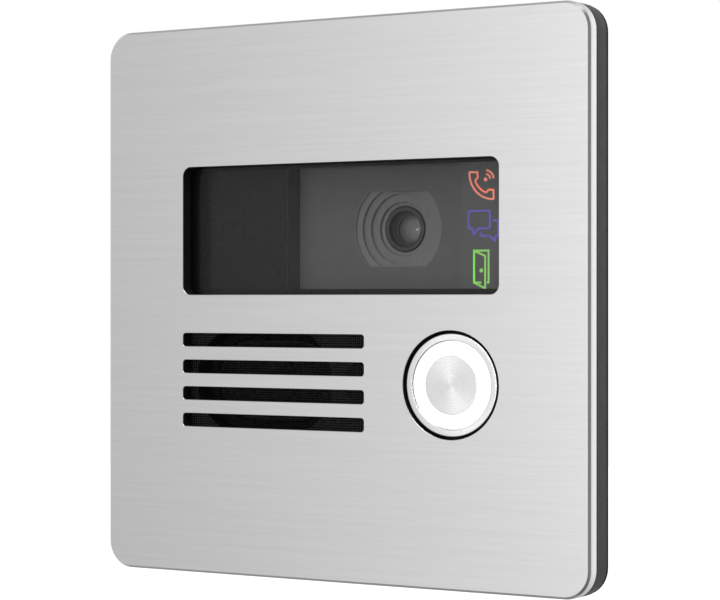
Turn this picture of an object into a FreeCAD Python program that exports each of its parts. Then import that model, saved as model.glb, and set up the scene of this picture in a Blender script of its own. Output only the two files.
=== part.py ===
import FreeCAD, Part
import math
import os
import sys

import Sketcher
from FreeCAD import Placement, Rotation, Vector

# Door intercom panel: a brushed front plate with a camera window, loudspeaker slots and a lit call
# button, on a black housing that hangs on a steel bracket screwed to the wall.
#
# Every piece is drawn as one looks at the panel: x to the right, y up, and z out of the wall towards
# the visitor, with z = 0 on the wall. FACING then stands the pieces up: the row's +Z is up, and its
# -Y is the visitor's side. The origin is the middle of the wall face.

FACING = Placement(Vector(0, 0, 0), Rotation(Vector(1, 0, 0), 90))

doc = FreeCAD.newDocument("door_intercom_panel")
sheet = doc.addObject("Spreadsheet::Sheet", "Sizes")
sheet_row = 1


class Size:
    """A length that knows both its number and the spreadsheet formula that drives it."""

    def __init__(self, text, value):
        self.text = text
        self.value = value

    def __add__(self, other):
        other = as_size(other)
        return Size(f"({self.text} + {other.text})", self.value + other.value)

    def __sub__(self, other):
        other = as_size(other)
        return Size(f"({self.text} - {other.text})", self.value - other.value)

    def __mul__(self, other):
        other = as_size(other)
        return Size(f"({self.text} * {other.text})", self.value * other.value)

    def __truediv__(self, other):
        other = as_size(other)
        return Size(f"({self.text} / {other.text})", self.value / other.value)

    def __neg__(self):
        return Size(f"(0 - {self.text})", -self.value)

    __radd__ = __add__
    __rmul__ = __mul__


def as_size(number):
    return number if isinstance(number, Size) else Size(repr(float(number)), float(number))


def size(name, value, meaning):
    """Puts one driving dimension on the sheet and returns it."""
    global sheet_row
    sheet.set(f"A{sheet_row}", name)
    sheet.set(f"B{sheet_row}", repr(float(value)))
    sheet.set(f"C{sheet_row}", meaning)
    sheet.setAlias(f"B{sheet_row}", name)
    sheet_row += 1
    return Size(f"Sizes.{name}", float(value))


# ---------------------------------------------------------------- driving dimensions

# Front plate
panel_side = size("panel_side", 120.0, "width and height of the front plate")
plate_corner = size("plate_corner", 6.0, "radius of the plate's corners")
plate_thick = size("plate_thick", 3.0, "thickness of the plate")
rim_stand = size("rim_stand", 5.5, "front of the housing's rim above the wall")
plate_bevel = size("plate_bevel", 0.6, "bevel round the front face")
plate_back_bevel = size("plate_back_bevel", 0.3, "bevel round the plate's back")
stud_radius = size("stud_radius", 1.25, "welded M2.5 stud")
stud_inset = size("stud_inset", 4.0, "stud axis inside the tub's side wall")
stud_drop = size("stud_drop", 8.0, "corner stud axis below the tub's top wall")
nut_radius = size("nut_radius", 2.9, "nut, across its corners, halved")
nut_thick = size("nut_thick", 2.0, "height of the nut")
stud_end = size("stud_end", 0.4, "stud that stands past its nut")

# Window, slots and the hole for the button
window_width = size("window_width", 78.8, "width of the camera window")
window_height = size("window_height", 28.1, "height of the camera window")
window_corner = size("window_corner", 2.0, "corner radius of the window")
window_rise = size("window_rise", 15.2, "window's middle above the plate's")
slot_gap = size("slot_gap", 9.5, "slots' ends to the button's hole")
slot_height = size("slot_height", 2.92, "height of a slot")
slot_pitch = size("slot_pitch", 5.87, "slot to slot")
slot_corner = size("slot_corner", 0.7, "corner radius of a slot")
row_gap = size("row_gap", 7.39, "window's lower edge to the top of the button's hole")
button_hole = size("button_hole", 11.3, "radius of the hole for the call button")

# Window pane and its seal
pane_margin = size("pane_margin", 2.6, "pane behind the plate, past the window, each side")
pane_corner = size("pane_corner", 2.5, "corner radius of the pane")
pane_thick = size("pane_thick", 2.0, "thickness of the pane")
glue_thick = size("glue_thick", 0.3, "adhesive frame between plate and pane")
glue_inset = size("glue_inset", 0.5, "adhesive frame back from the window's edge")
pane_gap = size("pane_gap", 0.2, "gap round the pane in the housing")

# Front housing: rim, tub and its front wall
seal_thick = size("seal_thick", 1.0, "foam seal between rim and wall")
rim_web = size("rim_web", 1.0, "rim's front web, over the bracket pocket")
rim_lip = size("rim_lip", 3.0, "rim's outer lip")
rim_overhang = size("rim_overhang", 12.0, "rim past the tub, each side")
tub_corner = size("tub_corner", 5.0, "outer corner radius of the tub")
tub_wall = size("tub_wall", 2.0, "wall of the tub")
tub_depth = size("tub_depth", 10.0, "tub behind the wall face")
front_wall = size("front_wall", 2.5, "tub's front wall, behind the plate")
boss_radius = size("boss_radius", 3.0, "corner boss for a cover screw")
boss_inset = size("boss_inset", 3.8, "boss axis inside the tub's outside")
pilot_radius = size("pilot_radius", 1.0, "thread-forming pilot hole")
cover_pilot_depth = size("cover_pilot_depth", 8.0, "pilot hole for a cover screw")

# Rear cover
gasket_thick = size("gasket_thick", 0.8, "flat gasket between tub and cover")
cover_wall = size("cover_wall", 2.0, "wall of the cover")
cover_depth = size("cover_depth", 30.0, "back of the cover behind the wall face")
cover_step = size("cover_step", 4.0, "cover's box inside its flange, each side")
cover_corner = size("cover_corner", 10.0, "corner radius of the cover's box")
bay_top = size("bay_top", 20.0, "connector bay's upper wall below the middle")
screw_radius = size("screw_radius", 1.25, "cover screw's shank")
screw_head_radius = size("screw_head_radius", 2.2, "cover screw's head")
screw_head_thick = size("screw_head_thick", 1.6, "height of a cover screw's head")
drive_radius = size("drive_radius", 0.9, "hexagon socket in a screw head")
hole_gap = size("hole_gap", 0.25, "clearance round a screw in a through hole")
vent_radius = size("vent_radius", 4.0, "pressure vent")
vent_across = size("vent_across", 24.0, "vent left of the middle")
vent_rise = size("vent_rise", 26.0, "vent above the middle")

# Main board and what stands on it
board_thick = size("board_thick", 1.6, "main board")
small_board_thick = size("small_board_thick", 1.2, "the smaller boards")
small_board_corner = size("small_board_corner", 1.0, "diode boards' corner radius")
board_gap = size("board_gap", 1.0, "main board inside the cover's walls")
board_lift = size("board_lift", 0.4, "main board above the connector bay's wall")
post_radius = size("post_radius", 2.5, "post that carries the main board")
post_across = size("post_across", 37.5, "posts either side of the middle")
post_high = size("post_high", 34.0, "upper posts above the middle")
post_low = size("post_low", 2.0, "lower posts below the middle")
post_pilot = size("post_pilot", 6.0, "depth of a post's pilot hole")
post_screw = size("post_screw", 5.0, "board screw in its post")
small_screw = size("small_screw", 1.0, "M2 screw's shank")
small_head = size("small_head", 1.7, "M2 screw's head")
small_head_thick = size("small_head_thick", 0.6, "height of an M2 screw's head")
small_screw_bite = size("small_screw_bite", 1.6, "M2 screw in the housing's front wall")
jack_width = size("jack_width", 16.0, "network socket")
jack_height = size("jack_height", 13.5, "network socket above the board")
jack_length = size("jack_length", 16.0, "network socket, front to back")
jack_across = size("jack_across", 14.0, "network socket right of the middle")
jack_gap = size("jack_gap", 0.3, "socket to the cover's back wall")
plug_width = size("plug_width", 11.8, "plug opening")
plug_height = size("plug_height", 8.2, "plug opening")
plug_depth = size("plug_depth", 12.0, "plug opening")
latch_height = size("latch_height", 3.0, "room for the plug's latch")
terminal_pitch = size("terminal_pitch", 3.5, "terminal to terminal")
terminal_height = size("terminal_height", 9.0, "terminal block above the board")
terminal_length = size("terminal_length", 8.0, "terminal block, front to back")
terminal_end = size("terminal_end", 1.5, "terminal block past its terminals")
terminal_stand = size("terminal_stand", 0.6, "terminal block below the bay's wall")
wire_level = size("wire_level", 2.7, "wire holes above the board")
wire_depth = size("wire_depth", 6.0, "depth of a wire hole")
driver_level = size("driver_level", 6.66, "terminal screws above the board")
driver_depth = size("driver_depth", 4.0, "terminal screw's end inside the block")
driver_recess = size("driver_recess", 0.5, "terminal screw's head inside the block")
wire_hole = size("wire_hole", 1.2, "radius of a terminal's wire hole")
terminal_screw = size("terminal_screw", 1.1, "radius of a terminal's screw")
block_gap = size("block_gap", 1.6, "between the two terminal blocks")
block_across = size("block_across", 20.0, "terminal blocks' middle left of the middle")
wall_hole_gap = size("wall_hole_gap", 0.15, "gap round a connector in the bay's wall")
reset_across = size("reset_across", 30.0, "reset button right of the middle")
reset_radius = size("reset_radius", 1.5, "reset button")
reset_stand = size("reset_stand", 0.5, "reset button proud of the bay's wall")
reset_travel = size("reset_travel", 0.3, "how far the reset button goes in")
reset_level = size("reset_level", 3.0, "reset button above the board")
reset_root = size("reset_root", 1.8, "reset button past the bay's wall, in its switch")
reset_room = size("reset_room", 0.2, "bore past the reset button when it is pressed")
reset_switch_gap = size("reset_switch_gap", 0.6, "reset switch above the bay's wall")
reset_switch_width = size("reset_switch_width", 7.0, "reset switch")
reset_switch_height = size("reset_switch_height", 5.4, "reset switch above the board")
reset_switch_length = size("reset_switch_length", 4.5, "reset switch, front to back")
chip_side = size("chip_side", 15.0, "processor")
chip_thick = size("chip_thick", 1.4, "processor")
chip_corner = size("chip_corner", 0.4, "processor and heat sink, corner radius")
chip_across = size("chip_across", 14.0, "processor left of the middle")
chip_rise = size("chip_rise", 20.0, "processor above the middle")
can_radius = size("can_radius", 3.15, "capacitor")
can_height = size("can_height", 7.7, "capacitor above the board")
can_across = size("can_across", 12.5, "capacitors' row right of the middle")
can_pitch = size("can_pitch", 9.0, "capacitor to capacitor")
can_rise = size("can_rise", 32.0, "capacitors above the middle")
coil_side = size("coil_side", 12.0, "power coil")
coil_corner = size("coil_corner", 1.5, "power coil")
coil_height = size("coil_height", 6.0, "power coil above the board")
coil_across = size("coil_across", 20.0, "power coil right of the middle")
coil_rise = size("coil_rise", 16.0, "power coil above the middle")
sink_thick = size("sink_thick", 5.0, "heat sink")
sink_base = size("sink_base", 1.2, "heat sink's base")
fin_thick = size("fin_thick", 1.0, "heat sink's fin")

# Camera: bezel tray behind the pane, hood, lens and its board
camera_across = size("camera_across", 9.85, "lens axis right of the middle")
tray_lap = size("tray_lap", 2.1, "bezel tray past the window, each side")
tray_wall = size("tray_wall", 1.0, "wall of the bezel tray")
tray_depth = size("tray_depth", 4.5, "tray's floor behind the pane")
tray_floor = size("tray_floor", 1.0, "thickness of the tray's floor")
hood_radius = size("hood_radius", 10.6, "hood at the tray's floor")
hood_clip = size("hood_clip", 8.0, "hood's flat top and bottom from its axis")
hood_depth = size("hood_depth", 3.1, "hood from the tray's floor to the lens")
hood_wall = size("hood_wall", 1.2, "wall of the hood")
glass_radius = size("glass_radius", 3.9, "front lens")
nose_radius = size("nose_radius", 4.8, "nose of the lens barrel")
nose_length = size("nose_length", 0.9, "nose of the lens barrel")
nose_gap = size("nose_gap", 0.2, "nose in the hood's bore")
barrel_radius = size("barrel_radius", 6.0, "threaded lens barrel")
barrel_length = size("barrel_length", 3.9, "threaded length")
holder_side = size("holder_side", 15.0, "lens holder")
holder_start = size("holder_start", 0.6, "holder behind the barrel's shoulder")
holder_corner = size("holder_corner", 1.0, "lens holder's corner radius")
lens_gap = size("lens_gap", 0.1, "barrel's shoulder behind the hood")
glass_seat = size("glass_seat", 0.4, "front lens let into the barrel")
glass_stand = size("glass_stand", 0.5, "front lens proud of the nose")
glass_round = size("glass_round", 0.9, "rounding of the front lens")
glass_step = size("glass_step", 1.0, "front lens past the rear lens, each side")
rear_glass_start = size("rear_glass_start", 0.3, "rear lens inside the barrel's end")
rear_glass_thick = size("rear_glass_thick", 1.2, "rear lens")
sensor_side = size("sensor_side", 7.6, "image sensor")
sensor_thick = size("sensor_thick", 1.0, "image sensor")
camera_board_width = size("camera_board_width", 31.0, "camera board")
camera_board_height = size("camera_board_height", 20.0, "camera board")
camera_board_stand = size("camera_board_stand", 8.3, "camera board behind the tray's floor")
camera_board_corner = size("camera_board_corner", 1.5, "camera board's corner radius")
connector_width = size("connector_width", 14.0, "board connector")
connector_height = size("connector_height", 4.0, "board connector")
connector_drop = size("connector_drop", 6.0, "board connector below the lens axis")
camera_post = size("camera_post", 12.6, "camera board's posts from the lens axis")
ear_radius = size("ear_radius", 2.2, "screw ear of the tray")
ear_thick = size("ear_thick", 1.5, "screw ear of the tray")
ear_spread = size("ear_spread", 10.0, "ears above and below the tray's middle")

# Infrared lamp block at the window's left
lamp_edge = size("lamp_edge", 15.1, "lamp block's right side, left of the middle")
lamp_gap = size("lamp_gap", 0.2, "lamp block's front behind the pane")
lamp_wall = size("lamp_wall", 1.5, "wall of the lamp block")
lamp_fit = size("lamp_fit", 0.1, "gap round the lamp block in the tray")
lamp_led = size("lamp_led", 3.5, "infrared diode's side")
lamp_led_thick = size("lamp_led_thick", 1.8, "infrared diode's height")
lamp_led_lens = size("lamp_led_lens", 1.47, "radius of an infrared diode's lens")
lamp_led_pitch = size("lamp_led_pitch", 8.5, "diode to diode")

# Status signs at the window's right
sign_across = size("sign_across", 33.1, "signs right of the middle")
sign_margin = size("sign_margin", 2.0, "window's height that the three signs leave")
sign_width = size("sign_width", 9.0, "light chamber")
film_width = size("film_width", 12.0, "sign film")
film_thick = size("film_thick", 0.15, "sign film")
film_corner = size("film_corner", 0.5, "sign film's corner radius")
film_shift = size("film_shift", 0.5, "sign film right of the signs' middle")
chamber_wall = size("chamber_wall", 1.0, "light chamber's wall")
status_led = size("status_led", 1.6, "status diode's side")
status_led_spread = size("status_led_spread", 1.6, "diodes either side of a sign's middle")
status_led_thick = size("status_led_thick", 0.7, "status diode's height")

# Loudspeaker and microphone
mesh_thick = size("mesh_thick", 0.2, "acoustic mesh behind the slots")
mesh_margin = size("mesh_margin", 2.6, "mesh past the slots, each side")
speaker_width = size("speaker_width", 40.0, "loudspeaker's flange")
speaker_height = size("speaker_height", 28.0, "loudspeaker's flange")
boot_gap = size("boot_gap", 0.6, "loudspeaker's flange to the microphone's boot")
speaker_pad = size("speaker_pad", 1.0, "foam gasket of the loudspeaker")
flange_thick = size("flange_thick", 1.5, "loudspeaker's flange")
flange_corner = size("flange_corner", 3.0, "loudspeaker's flange")
basket_margin = size("basket_margin", 1.5, "basket inside the flange, each side")
basket_depth = size("basket_depth", 4.0, "basket behind the flange")
basket_wall = size("basket_wall", 1.0, "basket's wall")
surround_width = size("surround_width", 2.4, "rubber surround")
surround_thick = size("surround_thick", 0.35, "rubber surround")
surround_stand = size("surround_stand", 0.2, "surround's front past the flange's back")
cone_depth = size("cone_depth", 1.6, "depth of the cone")
cone_wall = size("cone_wall", 0.5, "cone")
cone_rim = size("cone_rim", 1.3, "cone's flat rim")
cone_edge = size("cone_edge", 0.3, "gap between cone and surround")
cone_room = size("cone_room", 0.6, "basket round the cone")
cone_travel = size("cone_travel", 0.5, "cone's travel each way")
coil_radius = size("coil_radius", 6.3, "outside of the voice coil")
coil_wall = size("coil_wall", 0.4, "voice coil")
coil_length = size("coil_length", 5.0, "voice coil behind the cone")
coil_gap = size("coil_gap", 0.35, "voice coil in the magnet")
cap_radius = size("cap_radius", 5.04, "cone's dust cap")
magnet_radius = size("magnet_radius", 9.0, "magnet")
magnet_depth = size("magnet_depth", 5.5, "magnet behind the basket")
speaker_screw_across = size("speaker_screw_across", 17.8, "flange screws from the cone's axis")
speaker_screw_up = size("speaker_screw_up", 11.8, "flange screws from the cone's axis")
mic_gap = size("mic_gap", 12.2, "microphone's axis left of the button's hole")
mic_radius = size("mic_radius", 3.0, "microphone")
mic_thick = size("mic_thick", 2.7, "microphone")
boot_wall = size("boot_wall", 1.2, "microphone's rubber boot")
boot_front = size("boot_front", 2.0, "boot in front of the microphone")
boot_back = size("boot_back", 0.8, "boot behind the microphone's back")
sound_hole = size("sound_hole", 1.0, "radius of the boot's sound hole")

# Call button
button_recess = size("button_recess", 0.4, "button's face below the plate's")
button_gap = size("button_gap", 0.6, "gap round the button in the plate's hole")
light_radius = size("light_radius", 9.0, "outside of the light ring")
disc_radius = size("disc_radius", 6.2, "steel disc in the middle")
disc_thick = size("disc_thick", 1.1, "steel disc")
carrier_room = size("carrier_room", 1.1, "carrier's flange behind the plate's back")
ring_bevel = size("ring_bevel", 0.25, "bevel of the button's ring")
button_travel = size("button_travel", 1.0, "how far the button goes in")
carrier_lap = size("carrier_lap", 1.5, "carrier's flange past the plate's hole")
carrier_flange = size("carrier_flange", 1.2, "carrier's flange")
carrier_gap = size("carrier_gap", 0.5, "gap round the carrier's flange")
skirt_radius = size("skirt_radius", 10.0, "carrier's skirt")
skirt_wall = size("skirt_wall", 1.2, "carrier's skirt")
skirt_length = size("skirt_length", 4.7, "carrier's skirt")
skirt_fit = size("skirt_fit", 0.05, "running clearance of the skirt in its guide")
guide_wall = size("guide_wall", 1.8, "guide round the skirt")
guide_length = size("guide_length", 6.0, "guide behind the housing's front wall")
guide_flange = size("guide_flange", 2.3, "guide's flange")
guide_lap = size("guide_lap", 2.7, "guide's flange past the carrier's opening")
guide_screw_inset = size("guide_screw_inset", 1.5, "guide's screws inside its flange")
light_hole = size("light_hole", 1.1, "light holes through the carrier")
light_hole_ring = size("light_hole_ring", 7.3, "radius that the light holes stand on")
light_hole_count = 8
terminal_ways = 5
fin_count = 5
boot_lap = size("boot_lap", 2.1, "button seal's foot under the plate")
boot_foot = size("boot_foot", 0.8, "button seal's foot")
boot_web = size("boot_web", 0.4, "button seal's web")
boot_set = size("boot_set", 0.3, "button seal's web behind the plate")
boot_bead = size("boot_bead", 0.6, "button seal's bead round the ring")
button_board_radius = size("button_board_radius", 13.0, "board behind the button")
switch_side = size("switch_side", 6.2, "push switch")
switch_height = size("switch_height", 2.1, "push switch")
switch_corner = size("switch_corner", 0.5, "push switch")
plunger_radius = size("plunger_radius", 1.7, "plunger of the switch")
plunger_fit = size("plunger_fit", 0.05, "running clearance of the plunger")
plunger_stand = size("plunger_stand", 1.1, "plunger in front of its switch")
plunger_root = size("plunger_root", 0.8, "plunger inside its switch")
pin_radius = size("pin_radius", 1.5, "carrier's pin on the plunger")
plunger_room = size("plunger_room", 0.1, "bore behind the plunger when it is pressed")
pin_gap = size("pin_gap", 0.05, "pin to plunger at rest")
button_led_side = size("button_led_side", 1.6, "button's diode")
button_led_thick = size("button_led_thick", 0.7, "button's diode")

# Wall bracket, its hooks and the security screws
bracket_thick = size("bracket_thick", 1.5, "bracket sheet")
bracket_gap = size("bracket_gap", 0.5, "bracket inside the rim's lip")
bracket_clear = size("bracket_clear", 0.75, "bracket round the tub")
bracket_hole = size("bracket_hole", 2.1, "hole for a wall screw")
bracket_screw_inset = size("bracket_screw_inset", 7.0, "wall screws inside the plate's edge")
hook_across = size("hook_across", 30.0, "hooks either side of the middle")
hook_width = size("hook_width", 12.0, "hook")
hook_sheet = size("hook_sheet", 1.2, "sheet of a hook or tab")
hook_rise = size("hook_rise", 1.6, "hook's upturned end into the lip")
hook_gap = size("hook_gap", 0.3, "gap round a hook in its notch")
hook_front = size("hook_front", 4.2, "front of the hooks above the wall")
tab_front = size("tab_front", 5.2, "front of the screw tabs above the wall")
tab_across = size("tab_across", 24.0, "screw tabs either side of the middle")
lock_radius = size("lock_radius", 1.25, "security screw's shank")
lock_head = size("lock_head", 1.8, "security screw's head")
lock_head_depth = size("lock_head_depth", 1.5, "security screw's head")
lock_length = size("lock_length", 5.6, "security screw in all")
lock_recess = size("lock_recess", 0.1, "security screw's head inside the rim")
lock_station = size("lock_station", 3.15, "security screw's axis above the wall")
seal_inset = size("seal_inset", 0.1, "wall seal inside the rim's edge")
seal_clear = size("seal_clear", 0.1, "wall seal round the bracket's pocket")

# ---------------------------------------------------------------- places worked out from them

plate_back = rim_stand
face_stand = rim_stand + plate_thick
wall_rear = plate_back - front_wall
tub_rear = -tub_depth
body_side = panel_side - rim_overhang * 2
tub_inner = body_side - tub_wall * 2
pocket_floor = plate_back - rim_web
lip_inner = panel_side - rim_lip * 2
lip_corner = plate_corner - rim_lip
boss_place = body_side / 2 - boss_inset

pane_front = plate_back - glue_thick
pane_rear = pane_front - pane_thick
tray_station = pane_rear - tray_depth
tray_rear = tray_station - tray_floor
hood_end = tray_station - hood_depth
camera_board_front = tray_rear - camera_board_stand

flange_front = tub_rear - gasket_thick
flange_rear = flange_front - cover_wall
cover_rear = -cover_depth
cover_inside = cover_rear + cover_wall
board_rear = cover_inside + jack_gap + jack_height
board_front = board_rear + board_thick
box_side = body_side - cover_step * 2

button_across = window_width / 2 - button_hole
lower_row = button_hole + row_gap - window_rise + window_height / 2
slot_width = window_width - button_hole * 2 - slot_gap
slots_across = (slot_width - window_width) / 2
boot_radius = mic_radius + boot_wall
mic_across = button_across - button_hole - mic_gap
speaker_across = speaker_width / 2 + boot_radius + boot_gap - mic_across
sign_pitch = (window_height - sign_margin) / 3
button_radius = button_hole - button_gap
button_face = face_stand - button_recess
carrier_front = plate_back - carrier_room
carrier_rear = carrier_front - carrier_flange
carrier_radius = button_hole + carrier_lap
carrier_opening = carrier_radius + carrier_gap
guide_stop = carrier_rear - button_travel
guide_rear = wall_rear - guide_length
button_board_rear = guide_rear - small_board_thick
switch_front = guide_rear + switch_height
plunger_front = switch_front + plunger_stand

# ---------------------------------------------------------------- sketch outlines

# corner radius of a pill as a share of its height; a half would leave no flat end to constrain
PILL_CORNER = 0.49


def link(sketch, index, name, length):
    """Names a sketch's dimension and ties it to the sheet."""
    sketch.renameConstraint(index, name)
    sketch.setExpression(f"Constraints.{name}", length.text)


def line(x1, y1, x2, y2):
    return Part.LineSegment(Vector(x1, y1, 0), Vector(x2, y2, 0))


def arc(x, y, radius, start, end):
    return Part.ArcOfCircle(Part.Circle(Vector(x, y, 0), Vector(0, 0, 1), radius), start, end)


def round_box(sketch, width, height, corner, tag=""):
    """A rectangle with round corners, centred on the sketch's origin."""
    a = width.value / 2
    b = height.value / 2
    c = corner.value
    quarter = math.pi / 2
    pieces = [
        line(-a + c, b, a - c, b),
        arc(a - c, b - c, c, 0, quarter),
        line(a, b - c, a, -b + c),
        arc(a - c, -b + c, c, -quarter, 0),
        line(a - c, -b, -a + c, -b),
        arc(-a + c, -b + c, c, math.pi, 3 * quarter),
        line(-a, -b + c, -a, b - c),
        arc(-a + c, b - c, c, quarter, math.pi),
    ]
    first = sketch.addGeometry(pieces, False)[0]
    top, right, bottom, left = (first + step for step in (0, 2, 4, 6))
    corners = [first + step for step in (1, 3, 5, 7)]

    def join(side, end, other, start):
        sketch.addConstraint(Sketcher.Constraint("Tangent", side, end, other, start))

    # an arc runs anticlockwise, so each corner is joined at its far end first
    join(top, 2, corners[0], 2)
    join(corners[0], 1, right, 1)
    join(right, 2, corners[1], 2)
    join(corners[1], 1, bottom, 1)
    join(bottom, 2, corners[2], 2)
    join(corners[2], 1, left, 1)
    join(left, 2, corners[3], 2)
    join(corners[3], 1, top, 1)
    for flat in (top, bottom):
        sketch.addConstraint(Sketcher.Constraint("Horizontal", flat))
    for upright in (right, left):
        sketch.addConstraint(Sketcher.Constraint("Vertical", upright))
    for other in corners[1:]:
        sketch.addConstraint(Sketcher.Constraint("Equal", corners[0], other))
    sketch.addConstraint(Sketcher.Constraint("Symmetric", top, 1, bottom, 1, -1, 1))
    index = sketch.addConstraint(Sketcher.Constraint("Radius", corners[0], c))
    link(sketch, index, f"corner{tag}", corner)
    index = sketch.addConstraint(Sketcher.Constraint("DistanceX", left, 1, right, 1, 2 * a))
    link(sketch, index, f"width{tag}", width)
    index = sketch.addConstraint(Sketcher.Constraint("DistanceY", bottom, 1, top, 1, 2 * b))
    link(sketch, index, f"height{tag}", height)


def plain_box(sketch, width, height):
    """A rectangle with sharp corners, centred on the sketch's origin."""
    a = width.value / 2
    b = height.value / 2
    points = [(-a, b), (a, b), (a, -b), (-a, -b)]
    sides = [line(*points[i], *points[(i + 1) % 4]) for i in range(4)]
    first = sketch.addGeometry(sides, False)[0]
    for i in range(4):
        sketch.addConstraint(
            Sketcher.Constraint("Coincident", first + i, 2, first + (i + 1) % 4, 1)
        )
    for flat in (first, first + 2):
        sketch.addConstraint(Sketcher.Constraint("Horizontal", flat))
    for upright in (first + 1, first + 3):
        sketch.addConstraint(Sketcher.Constraint("Vertical", upright))
    sketch.addConstraint(Sketcher.Constraint("Symmetric", first, 1, first + 2, 1, -1, 1))
    index = sketch.addConstraint(Sketcher.Constraint("DistanceX", first, 1, first, 2, 2 * a))
    link(sketch, index, "width", width)
    index = sketch.addConstraint(
        Sketcher.Constraint("DistanceY", first + 1, 2, first + 1, 1, 2 * b)
    )
    link(sketch, index, "height", height)


def circle(sketch, radius, tag=""):
    """A circle about the sketch's origin."""
    shape = Part.Circle(Vector(0, 0, 0), Vector(0, 0, 1), radius.value)
    index = sketch.addGeometry(shape, False)
    sketch.addConstraint(Sketcher.Constraint("Coincident", index, 3, -1, 1))
    dimension = sketch.addConstraint(Sketcher.Constraint("Radius", index, radius.value))
    link(sketch, dimension, f"radius{tag}", radius)


def box(width, height, corner=None):
    """Outline of a rectangle, with round corners where a corner is given."""
    width = as_size(width)
    height = as_size(height)
    if corner is None:
        return lambda sketch: plain_box(sketch, width, height)
    return lambda sketch: round_box(sketch, width, height, as_size(corner))


def square(side, corner=None):
    return box(side, side, corner)


def pill(width, height):
    """Outline with ends that are all but half-round."""
    return box(width, height, as_size(height) * PILL_CORNER)


def pill_ring(outer_width, outer_height, inner_width, inner_height):
    outer = (outer_width, outer_height, outer_height * PILL_CORNER)
    inner = (inner_width, inner_height, inner_height * PILL_CORNER)
    return frame(outer, inner)


def frame(outer, inner):
    """Outline of a rectangular ring: each of outer and inner is width, height, corner."""

    def draw(sketch):
        round_box(sketch, *[as_size(one) for one in outer], tag="_out")
        round_box(sketch, *[as_size(one) for one in inner], tag="_in")

    return draw


def disc(radius):
    return lambda sketch: circle(sketch, as_size(radius))


def ring(outer, inner):
    def draw(sketch):
        circle(sketch, as_size(outer), "_out")
        circle(sketch, as_size(inner), "_in")

    return draw


def hexagon(radius):
    """Outline of a regular hexagon, by the radius of its corners."""

    def draw(sketch):
        size_out = radius.value
        turns = [math.radians(60 * i) for i in range(7)]
        points = [(size_out * math.cos(t), size_out * math.sin(t)) for t in turns]
        sides = [line(*points[i], *points[i + 1]) for i in range(6)]
        sketch.addGeometry(sides, False)
        guide = sketch.addGeometry(Part.Circle(Vector(0, 0, 0), Vector(0, 0, 1), size_out), True)
        sketch.addConstraint(Sketcher.Constraint("Coincident", guide, 3, -1, 1))
        index = sketch.addConstraint(Sketcher.Constraint("Radius", guide, size_out))
        link(sketch, index, "corners", radius)
        for i in range(6):
            sketch.addConstraint(Sketcher.Constraint("Coincident", i, 2, (i + 1) % 6, 1))
            sketch.addConstraint(Sketcher.Constraint("PointOnObject", i, 1, guide))
        for i in range(1, 6):
            sketch.addConstraint(Sketcher.Constraint("Equal", 0, i))
        sketch.addConstraint(Sketcher.Constraint("Horizontal", 1))

    return draw


def clipped_disc(radius, clip):
    """Outline of a circle cut flat above and below at the distance clip from its centre."""

    def draw(sketch):
        far = radius.value
        half = clip.value
        angle = math.asin(half / far)
        reach = far * math.cos(angle)
        sketch.addGeometry(
            [
                arc(0, 0, far, -angle, angle),
                line(reach, half, -reach, half),
                arc(0, 0, far, math.pi - angle, math.pi + angle),
                line(-reach, -half, reach, -half),
            ],
            False,
        )
        for i in range(4):
            sketch.addConstraint(Sketcher.Constraint("Coincident", i, 2, (i + 1) % 4, 1))
        for curve in (0, 2):
            sketch.addConstraint(Sketcher.Constraint("Coincident", curve, 3, -1, 1))
        for flat in (1, 3):
            sketch.addConstraint(Sketcher.Constraint("Horizontal", flat))
        index = sketch.addConstraint(Sketcher.Constraint("Radius", 0, far))
        link(sketch, index, "radius", radius)
        index = sketch.addConstraint(Sketcher.Constraint("DistanceY", -1, 1, 1, 1, half))
        link(sketch, index, "top", clip)
        index = sketch.addConstraint(Sketcher.Constraint("DistanceY", 3, 1, -1, 1, half))
        link(sketch, index, "bottom", clip)

    return draw


def profile(points):
    """Outline through the given corners, for a piece that is turned about its axis."""

    def draw(sketch):
        corners = [(as_size(x), as_size(y)) for x, y in points]
        count = len(corners)
        for i, (x, y) in enumerate(corners):
            next_x, next_y = corners[(i + 1) % count]
            sketch.addGeometry(line(x.value, y.value, next_x.value, next_y.value), False)
        for i in range(count):
            sketch.addConstraint(Sketcher.Constraint("Coincident", i, 2, (i + 1) % count, 1))
        for i, (x, y) in enumerate(corners):
            index = sketch.addConstraint(
                Sketcher.Constraint("DistanceX", -1, 1, i, 1, x.value)
            )
            link(sketch, index, f"across{i}", x)
            index = sketch.addConstraint(
                Sketcher.Constraint("DistanceY", -1, 1, i, 1, y.value)
            )
            link(sketch, index, f"along{i}", y)

    return draw


# ---------------------------------------------------------------- building a piece

PLANE_ROLES = {"out": "XY_Plane", "up": "XZ_Plane"}
pieces = []


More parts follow.
